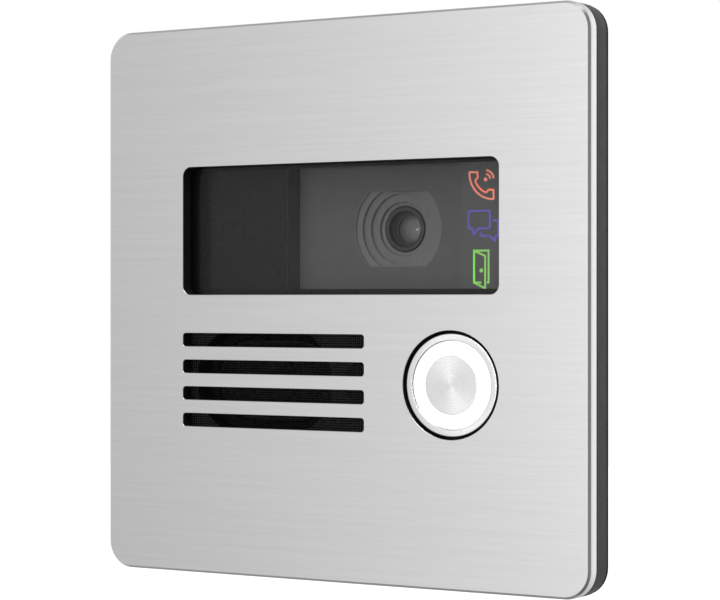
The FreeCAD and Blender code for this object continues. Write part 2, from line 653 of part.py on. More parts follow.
class Piece:
    """One sub-part: a body made of pads and cuts between named stations.

    A run "out" goes along z, out of the wall; a run "up" goes along y. Each feature says the two
    stations that it lies between, and where its outline's middle is across the run.
    """

    def __init__(self, label):
        self.body = doc.addObject("PartDesign::Body", label)
        self.body.Label = label
        self.body.AllowCompound = True
        self.body.Placement = FACING
        self.cuts = []
        pieces.append(self)

    def sketch(self, outline, run, station, at):
        across, other = (as_size(one) for one in at)
        station = as_size(station)
        sketch = self.body.newObject("Sketcher::SketchObject", f"{self.body.Label}_outline")
        role = PLANE_ROLES[run]
        plane = next(one for one in self.body.Origin.OriginFeatures if one.Role == role)
        sketch.AttachmentSupport = (plane, [""])
        sketch.MapMode = "FlatFace"
        # the plane of a run "up" faces down, so its stations are counted the other way
        offset = station if run == "out" else -station
        sketch.setExpression("AttachmentOffset.Base.x", across.text)
        sketch.setExpression("AttachmentOffset.Base.y", other.text)
        sketch.setExpression("AttachmentOffset.Base.z", offset.text)
        outline(sketch)
        return sketch

    def pad(self, outline, low, high, at=(0, 0), run="out"):
        low = as_size(low)
        high = as_size(high)
        sketch = self.sketch(outline, run, low if run == "out" else high, at)
        feature = self.body.newObject("PartDesign::Pad", "Pad")
        feature.Profile = sketch
        feature.setExpression("Length", (high - low).text)
        return feature

    def cut(self, outline, low, high, at=(0, 0), run="out"):
        low = as_size(low)
        high = as_size(high)
        sketch = self.sketch(outline, run, high if run == "out" else low, at)
        feature = self.body.newObject("PartDesign::Pocket", "Pocket")
        feature.Profile = sketch
        feature.setExpression("Length", (high - low).text)
        self.cuts.append(feature)
        return feature

    def turn(self, points, at=(0, 0)):
        """A solid turned about a line along z, from corners given as radius and station."""
        across, up = (as_size(one) for one in at)
        sketch = self.sketch(profile(points), "up", up, (across, 0))
        feature = self.body.newObject("PartDesign::Revolution", "Turned")
        feature.Profile = sketch
        feature.ReferenceAxis = (sketch, ["V_Axis"])
        feature.Angle = 360.0
        return feature

    def pattern_up(self, feature, span, count):
        """Repeats one feature upwards, over a span."""
        sketch = feature.Profile[0]
        pattern = self.body.newObject("PartDesign::LinearPattern", "Row")
        pattern.Originals = [feature]
        pattern.Direction = (sketch, ["V_Axis"])
        pattern.setExpression("Length", span.text)
        pattern.Occurrences = count
        self.body.Tip = pattern
        return pattern

    def pattern_round(self, feature, count):
        """Repeats one feature round the axis of the given sketch."""
        axis = self.sketch(disc(1.0), "out", 0, (button_across, -lower_row))
        pattern = self.body.newObject("PartDesign::PolarPattern", "Circle")
        pattern.Originals = [feature]
        pattern.Axis = (axis, ["N_Axis"])
        pattern.Angle = 360.0
        pattern.Occurrences = count
        self.body.Tip = pattern
        return pattern

    def edges_at(self, station, longest):
        """Names of the edges round the outside of the widest face at a station."""
        doc.recompute()
        shape = self.body.Tip.Shape
        level = [one for one in shape.Faces if abs(one.CenterOfMass.z - station.value) < 1e-6]
        face = max(level, key=lambda one: one.BoundBox.DiagonalLength)
        wires = sorted(face.Wires, key=lambda one: -one.BoundBox.DiagonalLength)
        wanted = [edge for wire in wires[:longest] for edge in wire.Edges]
        edges = enumerate(shape.Edges, start=1)
        return [f"Edge{i}" for i, edge in edges if any(edge.isSame(one) for one in wanted)]

    def bevel(self, width, edges):
        base = self.body.Tip
        feature = self.body.newObject("PartDesign::Chamfer", "Bevel")
        feature.Base = (base, edges)
        feature.setExpression("Size", width.text)
        self.body.Tip = feature

    def round(self, radius, edges):
        base = self.body.Tip
        feature = self.body.newObject("PartDesign::Fillet", "Round")
        feature.Base = (base, edges)
        feature.setExpression("Radius", radius.text)
        self.body.Tip = feature


def both_sides(across):
    """The place and its mirror image across the panel's middle."""
    return (-across, across)


def corners_of(across, up):
    return [(side, level) for side in both_sides(across) for level in (-up, up)]


def screw_group(label, places, shank, head, head_thick, head_front, tip, faces_out=False):
    """Like screws in one node: shanks from the tip to the head, heads with a hexagon socket."""
    screws = Piece(label)
    for place in places:
        if faces_out:
            screws.pad(disc(head), head_front - head_thick, head_front, at=place)
            screws.pad(disc(shank), tip, head_front - head_thick, at=place)
            screws.cut(hexagon(drive_radius), head_front - head_thick / 2, head_front, at=place)
        else:
            screws.pad(disc(head), head_front, head_front + head_thick, at=place)
            screws.pad(disc(shank), head_front + head_thick, tip, at=place)
            screws.cut(hexagon(drive_radius), head_front, head_front + head_thick / 2, at=place)
    return screws


# ---------------------------------------------------------------- front plate

stud_across = tub_inner / 2 - stud_inset
stud_places = corners_of(stud_across, tub_inner / 2 - stud_drop)
stud_places += [(0, -stud_across), (0, stud_across)]


def make_front_plate():
    plate = Piece("front_plate")
    plate.pad(square(panel_side, plate_corner), plate_back, face_stand)
    window = box(window_width, window_height, window_corner)
    plate.cut(window, plate_back, face_stand, at=(0, window_rise))
    plate.cut(disc(button_hole), plate_back, face_stand, at=(button_across, -lower_row))
    slot = box(slot_width, slot_height, slot_corner)
    lowest = -lower_row - slot_pitch * 1.5
    first = plate.cut(slot, plate_back, face_stand, at=(slots_across, lowest))
    plate.pattern_up(first, slot_pitch * 3, 4)
    plate.bevel(plate_bevel, plate.edges_at(face_stand, 1))
    plate.bevel(plate_back_bevel, plate.edges_at(plate_back, 1))
    for place in stud_places:
        plate.pad(disc(stud_radius), wall_rear - nut_thick - stud_end, plate_back, at=place)


def make_front_plate_nuts():
    nuts = Piece("front_plate_nuts")
    for place in stud_places:
        nuts.pad(hexagon(nut_radius), wall_rear - nut_thick, wall_rear, at=place)
        nuts.cut(disc(stud_radius), wall_rear - nut_thick, wall_rear, at=place)


# ---------------------------------------------------------------- housing, gasket and cover

guide_screw_ring = carrier_opening + guide_lap - guide_screw_inset
guide_screw_places = [
    (
        button_across + guide_screw_ring * math.cos(math.radians(turn)),
        -lower_row + guide_screw_ring * math.sin(math.radians(turn)),
    )
    for turn in (30, 150, 270)
]
speaker_middle = (-speaker_across, -lower_row)
speaker_screw_places = [
    (-speaker_across + across, -lower_row + up)
    for across, up in corners_of(speaker_screw_across, speaker_screw_up)
]
tray_width = window_width + tray_lap * 2
tray_height = window_height + tray_lap * 2
ear_places = [
    (side, window_rise + level)
    for side in both_sides(tray_width / 2 + ear_radius)
    for level in both_sides(ear_spread)
]
basket_width = speaker_width - basket_margin * 2
basket_height = speaker_height - basket_margin * 2
mouth_width = basket_width - basket_wall * 2
mouth_height = basket_height - basket_wall * 2
mesh_width = slot_width + mesh_margin * 2
mesh_height = slot_pitch * 3 + slot_height + mesh_margin * 2
seal_radius = carrier_radius + boot_lap


def make_front_housing():
    housing = Piece("front_housing")
    housing.pad(square(panel_side, plate_corner), seal_thick, plate_back)
    housing.pad(square(body_side, tub_corner), tub_rear, seal_thick)
    bracket_pocket = frame((lip_inner, lip_inner, lip_corner), (body_side, body_side, tub_corner))
    housing.cut(bracket_pocket, seal_thick, pocket_floor)
    housing.cut(square(tub_inner, tub_corner - tub_wall), tub_rear, wall_rear)
    for place in corners_of(boss_place, boss_place):
        housing.pad(disc(boss_radius), tub_rear, wall_rear, at=place)
        housing.cut(disc(pilot_radius), tub_rear, tub_rear + cover_pilot_depth, at=place)

    pane_width = window_width + (pane_margin + pane_gap) * 2
    pane_height = window_height + (pane_margin + pane_gap) * 2
    pane_hole = box(pane_width, pane_height, pane_corner + pane_gap)
    housing.cut(pane_hole, wall_rear, plate_back, at=(0, window_rise))
    mesh = box(mesh_width, mesh_height, slot_corner + mesh_margin)
    housing.cut(mesh, plate_back - mesh_thick, plate_back, at=(slots_across, -lower_row))
    mouth = pill(mouth_width, mouth_height)
    housing.cut(mouth, wall_rear, plate_back - mesh_thick, at=speaker_middle)
    mic_place = (mic_across, -lower_row)
    housing.cut(disc(boot_radius), wall_rear, plate_back - mesh_thick, at=mic_place)
    button_place = (button_across, -lower_row)
    housing.cut(disc(seal_radius), plate_back - boot_foot, plate_back, at=button_place)
    housing.cut(disc(carrier_opening), wall_rear, plate_back, at=button_place)

    for place in stud_places:
        housing.cut(disc(stud_radius + hole_gap), wall_rear, plate_back, at=place)
    for place in guide_screw_places + speaker_screw_places + ear_places:
        housing.cut(disc(small_screw), wall_rear, wall_rear + small_screw_bite, at=place)

    for side in both_sides(hook_across):
        notch = box(hook_width + hook_gap * 2, hook_front - seal_thick + hook_gap)
        middle = (side, (hook_front + seal_thick + hook_gap) / 2)
        top = lip_inner / 2 + hook_rise + hook_gap
        housing.cut(notch, lip_inner / 2, top, at=middle, run="up")
    for side in both_sides(tab_across):
        bottom = -panel_side / 2
        axis = (side, lock_station)
        housing.cut(disc(lock_head + hole_gap), bottom, bottom + lock_head_depth, at=axis, run="up")
        housing.cut(disc(lock_radius + hole_gap), bottom, -lip_inner / 2, at=axis, run="up")
        window = box(hook_width + hook_gap * 2, hook_sheet + hook_gap * 2)
        housing.cut(window, pocket_floor, plate_back, at=(side, tab_level))


def rim_section(piece, low, high):
    """The tub's wall section with its corner bosses, as the gasket and the cover's flange have it."""
    piece.pad(
        frame(
            (body_side, body_side, tub_corner),
            (tub_inner, tub_inner, tub_corner - tub_wall),
        ),
        low,
        high,
    )
    for place in corners_of(boss_place, boss_place):
        piece.pad(disc(boss_radius), low, high, at=place)
        piece.cut(disc(screw_radius + hole_gap), low, high, at=place)


def make_housing_gasket():
    gasket = Piece("housing_gasket")
    rim_section(gasket, flange_front, tub_rear)


box_top = box_side / 2
box_middle = (box_top - bay_top) / 2
box_height = box_top + bay_top
inner_corner = cover_corner - cover_wall
block_width = terminal_pitch * terminal_ways + terminal_end
terminal_bottom = -bay_top - terminal_stand
terminal_middles = [
    -block_across - (block_width + block_gap) / 2,
    -block_across + (block_width + block_gap) / 2,
]
board_screw_places = [
    (side, level) for side in both_sides(post_across) for level in (-post_low, post_high)
]
reset_station = board_rear - reset_level
reset_end = -bay_top + cover_wall + reset_root


def make_rear_cover():
    cover = Piece("rear_cover")
    cover.pad(square(body_side, tub_corner), flange_rear, flange_front)
    cover.pad(
        box(box_side, box_side, cover_corner),
        cover_rear,
        flange_rear,
    )
    # the connector bay is the lower part of the box, open behind and below
    bay_height = box_side / 2 - bay_top
    bay = box(box_side - cover_wall * 2, bay_height)
    cover.cut(bay, cover_rear, flange_rear, at=(0, -bay_top - bay_height / 2))
    # the dry room for the electronics, above the bay
    room_height = box_height - cover_wall * 2
    room = box(box_side - cover_wall * 2, room_height, inner_corner)
    cover.cut(room, cover_inside, flange_front, at=(0, box_middle))
    # its lower corners are square, because the connectors stand there
    lower_room = box(box_side - cover_wall * 2, room_height / 2)
    lower_middle = box_middle - room_height / 4
    cover.cut(lower_room, cover_inside, flange_front, at=(0, lower_middle))
    for place in corners_of(boss_place, boss_place):
        cover.cut(disc(screw_radius + hole_gap), flange_rear, flange_front, at=place)
    for place in board_screw_places:
        cover.pad(disc(post_radius), cover_inside, board_rear, at=place)
        cover.cut(disc(small_screw), board_rear - post_pilot, board_rear, at=place)

    low = -bay_top
    high = -bay_top + cover_wall
    jack_hole = box(jack_width + wall_hole_gap * 2, jack_height + wall_hole_gap * 2)
    jack_middle = (jack_across, board_rear - jack_height / 2)
    cover.cut(jack_hole, low, high, at=jack_middle, run="up")
    for middle in terminal_middles:
        hole = box(block_width + wall_hole_gap * 2, terminal_height + wall_hole_gap * 2)
        place = (middle, board_rear - terminal_height / 2)
        cover.cut(hole, low, high, at=place, run="up")
    reset_hole = disc(reset_radius + hole_gap)
    cover.cut(reset_hole, low, high, at=(reset_across, reset_station), run="up")
    vent_place = (-vent_across, vent_rise)
    cover.cut(disc(vent_radius), cover_rear, cover_rear + cover_wall / 2, at=vent_place)
    cover.cut(disc(vent_radius / 2), cover_rear, cover_inside, at=vent_place)


def make_pressure_vent():
    vent = Piece("pressure_vent")
    place = (-vent_across, vent_rise)
    vent.pad(disc(vent_radius), cover_rear, cover_rear + cover_wall / 2, at=place)


def make_rear_cover_screws():
    places = corners_of(boss_place, boss_place)
    head_back = flange_rear - screw_head_thick
    tip = tub_rear + cover_pilot_depth - pilot_radius
    screws = Piece("rear_cover_screws")
    for place in places:
        screws.pad(disc(screw_head_radius), head_back, flange_rear, at=place)
        screws.pad(disc(screw_radius), flange_rear, tub_rear, at=place)
        screws.pad(disc(pilot_radius), tub_rear, tip, at=place)
        socket = hexagon(drive_radius)
        screws.cut(socket, head_back, head_back + screw_head_thick / 2, at=place)


# ---------------------------------------------------------------- window, camera and lamps

tray_place = (0, window_rise)
camera_place = (camera_across, window_rise)
# each step of the hood: its share of the hood's radius, and of its depth where it ends
hood_steps = [(1.0, 0.19), (0.863, 0.45), (0.712, 0.71), (0.547, 1.0)]
lamp_left = tray_width / 2 - tray_wall
lamp_width = lamp_left - lamp_edge
lamp_middle = -(lamp_left + lamp_edge) / 2
lamp_height = tray_height - tray_wall * 2
lamp_place = (lamp_middle, window_rise)
sign_levels = [window_rise + sign_pitch * step for step in (-1, 0, 1)]
camera_board_rear = camera_board_front - small_board_thick


def make_window_seal():
    seal = Piece("window_seal")
    outer = (window_width + pane_margin * 2, window_height + pane_margin * 2, pane_corner)
    inner = (window_width + glue_inset * 2, window_height + glue_inset * 2, window_corner)
    seal.pad(frame(outer, inner), pane_front, plate_back, at=tray_place)


def make_window_pane():
    pane = Piece("window_pane")
    width = window_width + pane_margin * 2
    height = window_height + pane_margin * 2
    pane.pad(box(width, height, pane_corner), pane_rear, pane_front, at=tray_place)


def make_camera_bezel():
    tray = Piece("camera_bezel")
    tray.pad(box(tray_width, tray_height, pane_corner), tray_rear, pane_rear, at=tray_place)
    ear_length = tray_wall + ear_radius * 2
    ear = pill(ear_length, ear_radius * 2)
    for across in both_sides(tray_width / 2 + ear_radius * 2 - ear_length / 2):
        for level in both_sides(ear_spread):
            place = (across, window_rise + level)
            tray.pad(ear, wall_rear - ear_thick, wall_rear, at=place)
    hood_outside = clipped_disc(hood_radius + hood_wall, hood_clip + hood_wall)
    tray.pad(hood_outside, hood_end - hood_wall / 2, tray_rear, at=camera_place)
    for across in both_sides(camera_post):
        place = (camera_across + across, window_rise)
        tray.pad(disc(ear_radius), camera_board_front, tray_rear, at=place)
        tray.cut(disc(small_screw), camera_board_front, camera_board_front + post_screw, at=place)

    inner_width = tray_width - tray_wall * 2
    inner = box(inner_width, lamp_height, pane_corner - tray_wall)
    tray.cut(inner, tray_station, pane_rear, at=tray_place)
    lamp_hole = box(lamp_width, lamp_height, pane_corner - tray_wall)
    tray.cut(lamp_hole, tray_rear, tray_station, at=lamp_place)
    started = tray_station
    for share, depth in hood_steps:
        radius = hood_radius * share
        ended = tray_station - hood_depth * depth
        clips = radius.value > hood_clip.value
        outline = clipped_disc(radius, hood_clip) if clips else disc(radius)
        tray.cut(outline, ended, started, at=camera_place)
        started = ended
    bore = disc(nose_radius + nose_gap)
    tray.cut(bore, hood_end - hood_wall / 2, hood_end, at=camera_place)
    for level in sign_levels:
        chamber = box(sign_width, sign_pitch - chamber_wall)
        tray.cut(chamber, tray_rear, tray_station, at=(sign_across, level))
    for place in ear_places:
        hole = disc(small_screw + hole_gap)
        tray.cut(hole, wall_rear - ear_thick, wall_rear, at=place)


def make_ir_filter_block():
    block = Piece("ir_filter_block")
    width = lamp_width - lamp_fit * 2
    height = lamp_height - lamp_fit * 2
    corner = pane_corner - tray_wall
    front = pane_rear - lamp_gap
    block.pad(box(width, height, corner), tray_rear, front, at=lamp_place)
    hollow = box(width - lamp_wall * 2, height - lamp_wall * 2)
    block.cut(hollow, tray_rear, front - lamp_wall, at=lamp_place)


def make_ir_led_board():
    board = Piece("ir_led_board")
    rear = tray_rear - small_board_thick
    outline = box(lamp_width - lamp_fit * 2, lamp_height - lamp_fit * 2, small_board_corner)
    board.pad(outline, rear, tray_rear, at=lamp_place)


def lamp_places():
    return [
        (lamp_middle + lamp_led_pitch * column, window_rise + lamp_led_pitch * row)
        for column in (-0.5, 0.5)
        for row in (-1, 0, 1)
    ]


def make_ir_leds():
    leds = Piece("ir_leds")
    for place in lamp_places():
        body_top = tray_rear + lamp_led_thick / 2
        leds.pad(square(lamp_led), tray_rear, body_top, at=place)
        leds.pad(disc(lamp_led_lens), body_top, tray_rear + lamp_led_thick, at=place)


barrel_front = hood_end - hood_wall / 2 - lens_gap
barrel_rear = barrel_front - barrel_length
rear_glass_radius = glass_radius - glass_step
glass_back = barrel_front - glass_seat


def make_lens_barrel():
    barrel = Piece("lens_barrel")
    nose_front = barrel_front + nose_length
    barrel.pad(disc(barrel_radius), barrel_rear, barrel_front, at=camera_place)
    barrel.pad(disc(nose_radius), barrel_front, nose_front, at=camera_place)
    barrel.cut(disc(glass_radius), glass_back, nose_front, at=camera_place)
    barrel.cut(disc(rear_glass_radius), barrel_rear, glass_back, at=camera_place)


def make_lens_glass():
    glass = Piece("lens_glass")
    front = barrel_front + nose_length + glass_stand
    glass.pad(disc(glass_radius), glass_back, front, at=camera_place)
    glass.round(glass_round, glass.edges_at(front, 1))
    rear = barrel_rear + rear_glass_start
    glass.pad(disc(rear_glass_radius), rear, rear + rear_glass_thick, at=camera_place)


def make_lens_holder():
    holder = Piece("lens_holder")
    front = barrel_front - holder_start
    holder.pad(square(holder_side, holder_corner), camera_board_front, front, at=camera_place)
    holder.cut(disc(barrel_radius), camera_board_front, front, at=camera_place)


def make_image_sensor():
    sensor = Piece("image_sensor")
    front = camera_board_front + sensor_thick
    sensor.pad(square(sensor_side), camera_board_front, front, at=camera_place)


def make_camera_board():
    board = Piece("camera_board")
    outline = box(camera_board_width, camera_board_height, camera_board_corner)
    board.pad(outline, camera_board_rear, camera_board_front, at=camera_place)
    for across in both_sides(camera_post):
        place = (camera_across + across, window_rise)
        hole = disc(small_screw + hole_gap)
        board.cut(hole, camera_board_rear, camera_board_front, at=place)


def make_camera_board_screws():
    places = [(camera_across + across, window_rise) for across in both_sides(camera_post)]
    head_back = camera_board_rear - small_head_thick
    tip = camera_board_front + post_screw - stud_end
    screw_group(
        "camera_board_screws", places, small_screw, small_head, small_head_thick, head_back, tip
    )


def make_bezel_screws():
    head_back = wall_rear - ear_thick - small_head_thick
    tip = wall_rear + small_screw_bite
    screw_group("bezel_screws", ear_places, small_screw, small_head, small_head_thick, head_back, tip)


def make_board_connector():
    connector = Piece("board_connector")
    place = (camera_across, window_rise - connector_drop)
    connector.pad(box(connector_width, connector_height), board_front, camera_board_rear, at=place)


film_place = (sign_across + film_shift, window_rise)


def make_status_sign_film():
    film = Piece("status_sign_film")
    height = window_height + tray_lap
    film.pad(box(film_width, height, film_corner), pane_rear - film_thick, pane_rear, at=film_place)


def make_status_light_box():
    light_box = Piece("status_light_box")
    width = sign_width + chamber_wall * 2
    height = sign_pitch * 3 + chamber_wall
    front = pane_rear - film_thick
    light_box.pad(box(width, height), tray_station, front, at=(sign_across, window_rise))
    for level in sign_levels:
        chamber = box(sign_width, sign_pitch - chamber_wall)
        light_box.cut(chamber, tray_station, front, at=(sign_across, level))


def make_status_led_board():
    board = Piece("status_led_board")
    outline = box(sign_width + chamber_wall * 2, sign_pitch * 3 + chamber_wall, small_board_corner)
    place = (sign_across, window_rise)
    board.pad(outline, tray_rear - small_board_thick, tray_rear, at=place)


def make_status_leds():
    leds = Piece("status_leds")
    for level in sign_levels:
        for across in both_sides(status_led_spread):
            place = (sign_across + across, level)
            leds.pad(square(status_led), tray_rear, tray_rear + status_led_thick, at=place)


# ---------------------------------------------------------------- loudspeaker and microphone

pad_rear = wall_rear - speaker_pad
speaker_flange_rear = pad_rear - flange_thick
basket_rear = speaker_flange_rear - basket_depth
surround_front = speaker_flange_rear + surround_stand
cone_width = mouth_width - surround_width * 2
cone_height = mouth_height - surround_width * 2
cone_floor = surround_front - cone_depth
coil_end = cone_floor - coil_length


def make_speaker_mesh():
    mesh = Piece("speaker_mesh")
    outline = box(mesh_width, mesh_height, slot_corner + mesh_margin)
    mesh.pad(outline, plate_back - mesh_thick, plate_back, at=(slots_across, -lower_row))


def make_speaker_gasket():
    gasket = Piece("speaker_gasket")
    outer = (speaker_width, speaker_height, flange_corner)
    inner = (mouth_width, mouth_height, mouth_height * PILL_CORNER)
    gasket.pad(frame(outer, inner), pad_rear, wall_rear, at=speaker_middle)
    for place in speaker_screw_places:
        gasket.cut(disc(small_screw + hole_gap), pad_rear, wall_rear, at=place)


def make_speaker_frame():
    basket = Piece("speaker_frame")
    flange = box(speaker_width, speaker_height, flange_corner)
    basket.pad(flange, speaker_flange_rear, pad_rear, at=speaker_middle)
    bowl = pill(basket_width, basket_height)
    basket.pad(bowl, basket_rear, speaker_flange_rear, at=speaker_middle)
    mouth = pill(mouth_width, mouth_height)
    basket.cut(mouth, speaker_flange_rear, pad_rear, at=speaker_middle)
    hollow = pill(cone_width + cone_room * 2, cone_height + cone_room * 2)
    basket.cut(hollow, basket_rear + basket_wall, speaker_flange_rear, at=speaker_middle)
    bore = disc(coil_radius + coil_gap)
    basket.cut(bore, basket_rear, basket_rear + basket_wall, at=speaker_middle)
    for place in speaker_screw_places:
        hole = disc(small_screw + hole_gap)
        basket.cut(hole, speaker_flange_rear, pad_rear, at=place)


def make_speaker_screws():
    head_back = speaker_flange_rear - small_head_thick
    tip = wall_rear + small_screw_bite
    screw_group(
        "speaker_screws",
        speaker_screw_places,
        small_screw,
        small_head,
        small_head_thick,
        head_back,
        tip,
    )


def make_speaker_magnet():
    magnet = Piece("speaker_magnet")
    rear = basket_rear - magnet_depth
    magnet.pad(disc(magnet_radius), rear, basket_rear, at=speaker_middle)
    gap = ring(coil_radius + coil_gap, coil_radius - coil_wall - coil_gap)
    magnet.cut(gap, coil_end - cone_travel * 2, basket_rear, at=speaker_middle)


def make_speaker_surround():
    surround = Piece("speaker_surround")
    rear = surround_front - surround_thick
    whole = pill_ring(mouth_width, mouth_height, cone_width, cone_height)
    surround.pad(whole, speaker_flange_rear, surround_front, at=speaker_middle)
    room_width = cone_width + cone_room * 2
    room_height = cone_height + cone_room * 2
    lip = pill_ring(room_width, room_height, cone_width, cone_height)
    surround.pad(lip, rear, speaker_flange_rear, at=speaker_middle)


def make_speaker_cone():
    cone = Piece("speaker_cone")
    front = surround_front
    rim = pill(cone_width - cone_edge * 2, cone_height - cone_edge * 2)
    cone.pad(rim, cone_floor, front, at=speaker_middle)
    # the bowl goes down in steps from the rim to the voice coil
    steps = 4
    step_depth = (cone_depth - cone_wall) / steps
    wide = cone_width - cone_rim * 2
    tall = cone_height - cone_rim * 2
    narrow = coil_radius * 2
    for step in range(steps):
        share = step / (steps - 1)
        width = wide * (1 - share) + (narrow + cone_rim) * share
        height = tall * (1 - share) + narrow * share
        high = front - step_depth * step
        cone.cut(pill(width, height), high - step_depth, high, at=speaker_middle)
    cone.pad(disc(cap_radius), cone_floor, cone_floor + cone_wall * 2, at=speaker_middle)
    coil = ring(coil_radius, coil_radius - coil_wall)
    cone.pad(coil, coil_end, cone_floor, at=speaker_middle)


boot_face = plate_back - mesh_thick
mic_front = boot_face - boot_front


def make_microphone_boot():
    boot = Piece("microphone_boot")
    rear = mic_front - mic_thick - boot_back
    place = (mic_across, -lower_row)
    boot.pad(disc(boot_radius), rear, boot_face, at=place)
    boot.cut(disc(mic_radius), rear, mic_front, at=place)
    boot.cut(disc(sound_hole), mic_front, boot_face, at=place)


def make_microphone():
    microphone = Piece("microphone")
    place = (mic_across, -lower_row)
    microphone.pad(disc(mic_radius), mic_front - mic_thick, mic_front, at=place)


# ---------------------------------------------------------------- call button

button_place = (button_across, -lower_row)


def make_button_bezel_ring():
    bezel = Piece("button_bezel_ring")
    bezel.pad(ring(button_radius, light_radius), carrier_front, button_face, at=button_place)
    bezel.bevel(ring_bevel, bezel.edges_at(button_face, 1))


def make_button_light_ring():
    light = Piece("button_light_ring")
    light.pad(ring(light_radius, disc_radius), carrier_front, button_face, at=button_place)


def make_button_disc():
    plate = Piece("button_disc")
    plate.pad(disc(disc_radius), button_face - disc_thick, button_face, at=button_place)


def make_button_carrier():
    carrier = Piece("button_carrier")
    carrier.pad(disc(carrier_radius), carrier_rear, carrier_front, at=button_place)
    post_front = button_face - disc_thick
    carrier.pad(disc(disc_radius), carrier_front, post_front, at=button_place)
    skirt = ring(skirt_radius, skirt_radius - skirt_wall)
    carrier.pad(skirt, carrier_rear - skirt_length, carrier_rear, at=button_place)
    pin_end = plunger_front + pin_gap
    carrier.pad(disc(pin_radius), pin_end, carrier_rear, at=button_place)
    hole_place = (button_across + light_hole_ring, -lower_row)
    hole = carrier.cut(disc(light_hole), carrier_rear, carrier_front, at=hole_place)
    carrier.pattern_round(hole, light_hole_count)


def make_button_seal():
    seal = Piece("button_seal")
    foot = plate_back - boot_foot
    inside = button_radius
    bead = button_radius + boot_bead
    web_front = plate_back - boot_set
    web_rear = web_front - boot_web
    seal.turn(
        [
            (inside, web_rear),
            (carrier_opening, web_rear),
            (carrier_opening, foot),
            (seal_radius, foot),
            (seal_radius, plate_back),
            (carrier_opening, plate_back),
            (carrier_opening, web_front),
            (bead, web_front),
            (bead, plate_back),
            (inside, plate_back),
        ],
        at=button_place,
    )


def make_button_guide():
    guide = Piece("button_guide")
    outside = carrier_opening + guide_lap
    flange_rear_face = wall_rear - guide_flange
    guide.pad(disc(outside), flange_rear_face, wall_rear, at=button_place)
    tube = skirt_radius + skirt_fit + guide_wall
    guide.pad(disc(tube), guide_rear, flange_rear_face, at=button_place)
    guide.cut(disc(carrier_opening), guide_stop, wall_rear, at=button_place)
    guide.cut(disc(skirt_radius + skirt_fit), guide_rear, guide_stop, at=button_place)
    for place in guide_screw_places:
        guide.cut(disc(small_screw + hole_gap), flange_rear_face, wall_rear, at=place)


def make_button_guide_screws():
    head_back = wall_rear - guide_flange - small_head_thick
    tip = wall_rear + small_screw_bite
    screw_group(
        "button_guide_screws",
        guide_screw_places,
        small_screw,
        small_head,
        small_head_thick,
        head_back,
        tip,
    )


def make_button_led_board():
    board = Piece("button_led_board")
    board.pad(disc(button_board_radius), button_board_rear, guide_rear, at=button_place)


def make_button_leds():
    leds = Piece("button_leds")
    for step in range(light_hole_count):
        turn = math.radians(360 / light_hole_count * step)
        place = (
            button_across + light_hole_ring * math.cos(turn),
            -lower_row + light_hole_ring * math.sin(turn),
        )
        leds.pad(square(button_led_side), guide_rear, guide_rear + button_led_thick, at=place)


def make_button_switch():
    switch = Piece("button_switch")
    switch.pad(square(switch_side, switch_corner), guide_rear, switch_front, at=button_place)
    bore = disc(plunger_radius + plunger_fit)
    bore_end = switch_front - plunger_root - button_travel - plunger_room
    switch.cut(bore, bore_end, switch_front, at=button_place)


def make_switch_plunger():
    plunger = Piece("switch_plunger")
    plunger.pad(disc(plunger_radius), switch_front - plunger_root, plunger_front, at=button_place)


# ---------------------------------------------------------------- main board

board_low = -bay_top + cover_wall + board_lift
board_high = box_top - cover_wall - board_gap
board_side = box_side - (cover_wall + board_gap) * 2
processor_place = (-chip_across, chip_rise)


def make_main_board():
    board = Piece("main_board")
    outline = box(board_side, board_high - board_low, inner_corner)
    middle = (0, (board_high + board_low) / 2)
    board.pad(outline, board_rear, board_front, at=middle)
    for place in board_screw_places:
        board.cut(disc(small_screw + hole_gap), board_rear, board_front, at=place)


def make_main_board_screws():
    screw_group(
        "main_board_screws",
        board_screw_places,
        small_screw,
        small_head,
        small_head_thick,
        board_front + small_head_thick,
        board_rear - post_screw,
        faces_out=True,
    )


def make_processor():
    chip = Piece("processor")
    chip.pad(square(chip_side, chip_corner), board_rear - chip_thick, board_rear, at=processor_place)


def make_heat_sink():
    sink = Piece("heat_sink")
    front = board_rear - chip_thick
    sink.pad(square(chip_side, chip_corner), front - sink_thick, front, at=processor_place)
    gap = (chip_side - fin_thick * fin_count) / (fin_count - 1)
    across, up = processor_place
    for step in range(fin_count - 1):
        place = (across + (gap + fin_thick) * (step - (fin_count - 2) / 2), up)
        slot = box(gap, chip_side)
        sink.cut(slot, front - sink_thick, front - sink_base, at=place)


def make_board_capacitors():
    cans = Piece("board_capacitors")
    for step in (-1, 0, 1):
        place = (can_across + can_pitch * step, can_rise)
        cans.pad(disc(can_radius), board_rear - can_height, board_rear, at=place)
    coil = square(coil_side, coil_corner)
    cans.pad(coil, board_rear - coil_height, board_rear, at=(coil_across, coil_rise))


def make_network_socket():
    jack = Piece("network_socket")
    bottom = -bay_top
    place = (jack_across, board_rear - jack_height / 2)
    jack.pad(box(jack_width, jack_height), bottom, bottom + jack_length, at=place, run="up")
    opening = box(plug_width, plug_height)
    jack.cut(opening, bottom, bottom + plug_depth, at=place, run="up")
    latch = box(plug_width / 2, plug_height + latch_height)
    jack.cut(latch, bottom, bottom + plug_depth, at=place, run="up")


def terminal_columns(middle):
    """The places across of one block's terminals."""
    return [middle + terminal_pitch * (way - (terminal_ways - 1) / 2) for way in range(terminal_ways)]


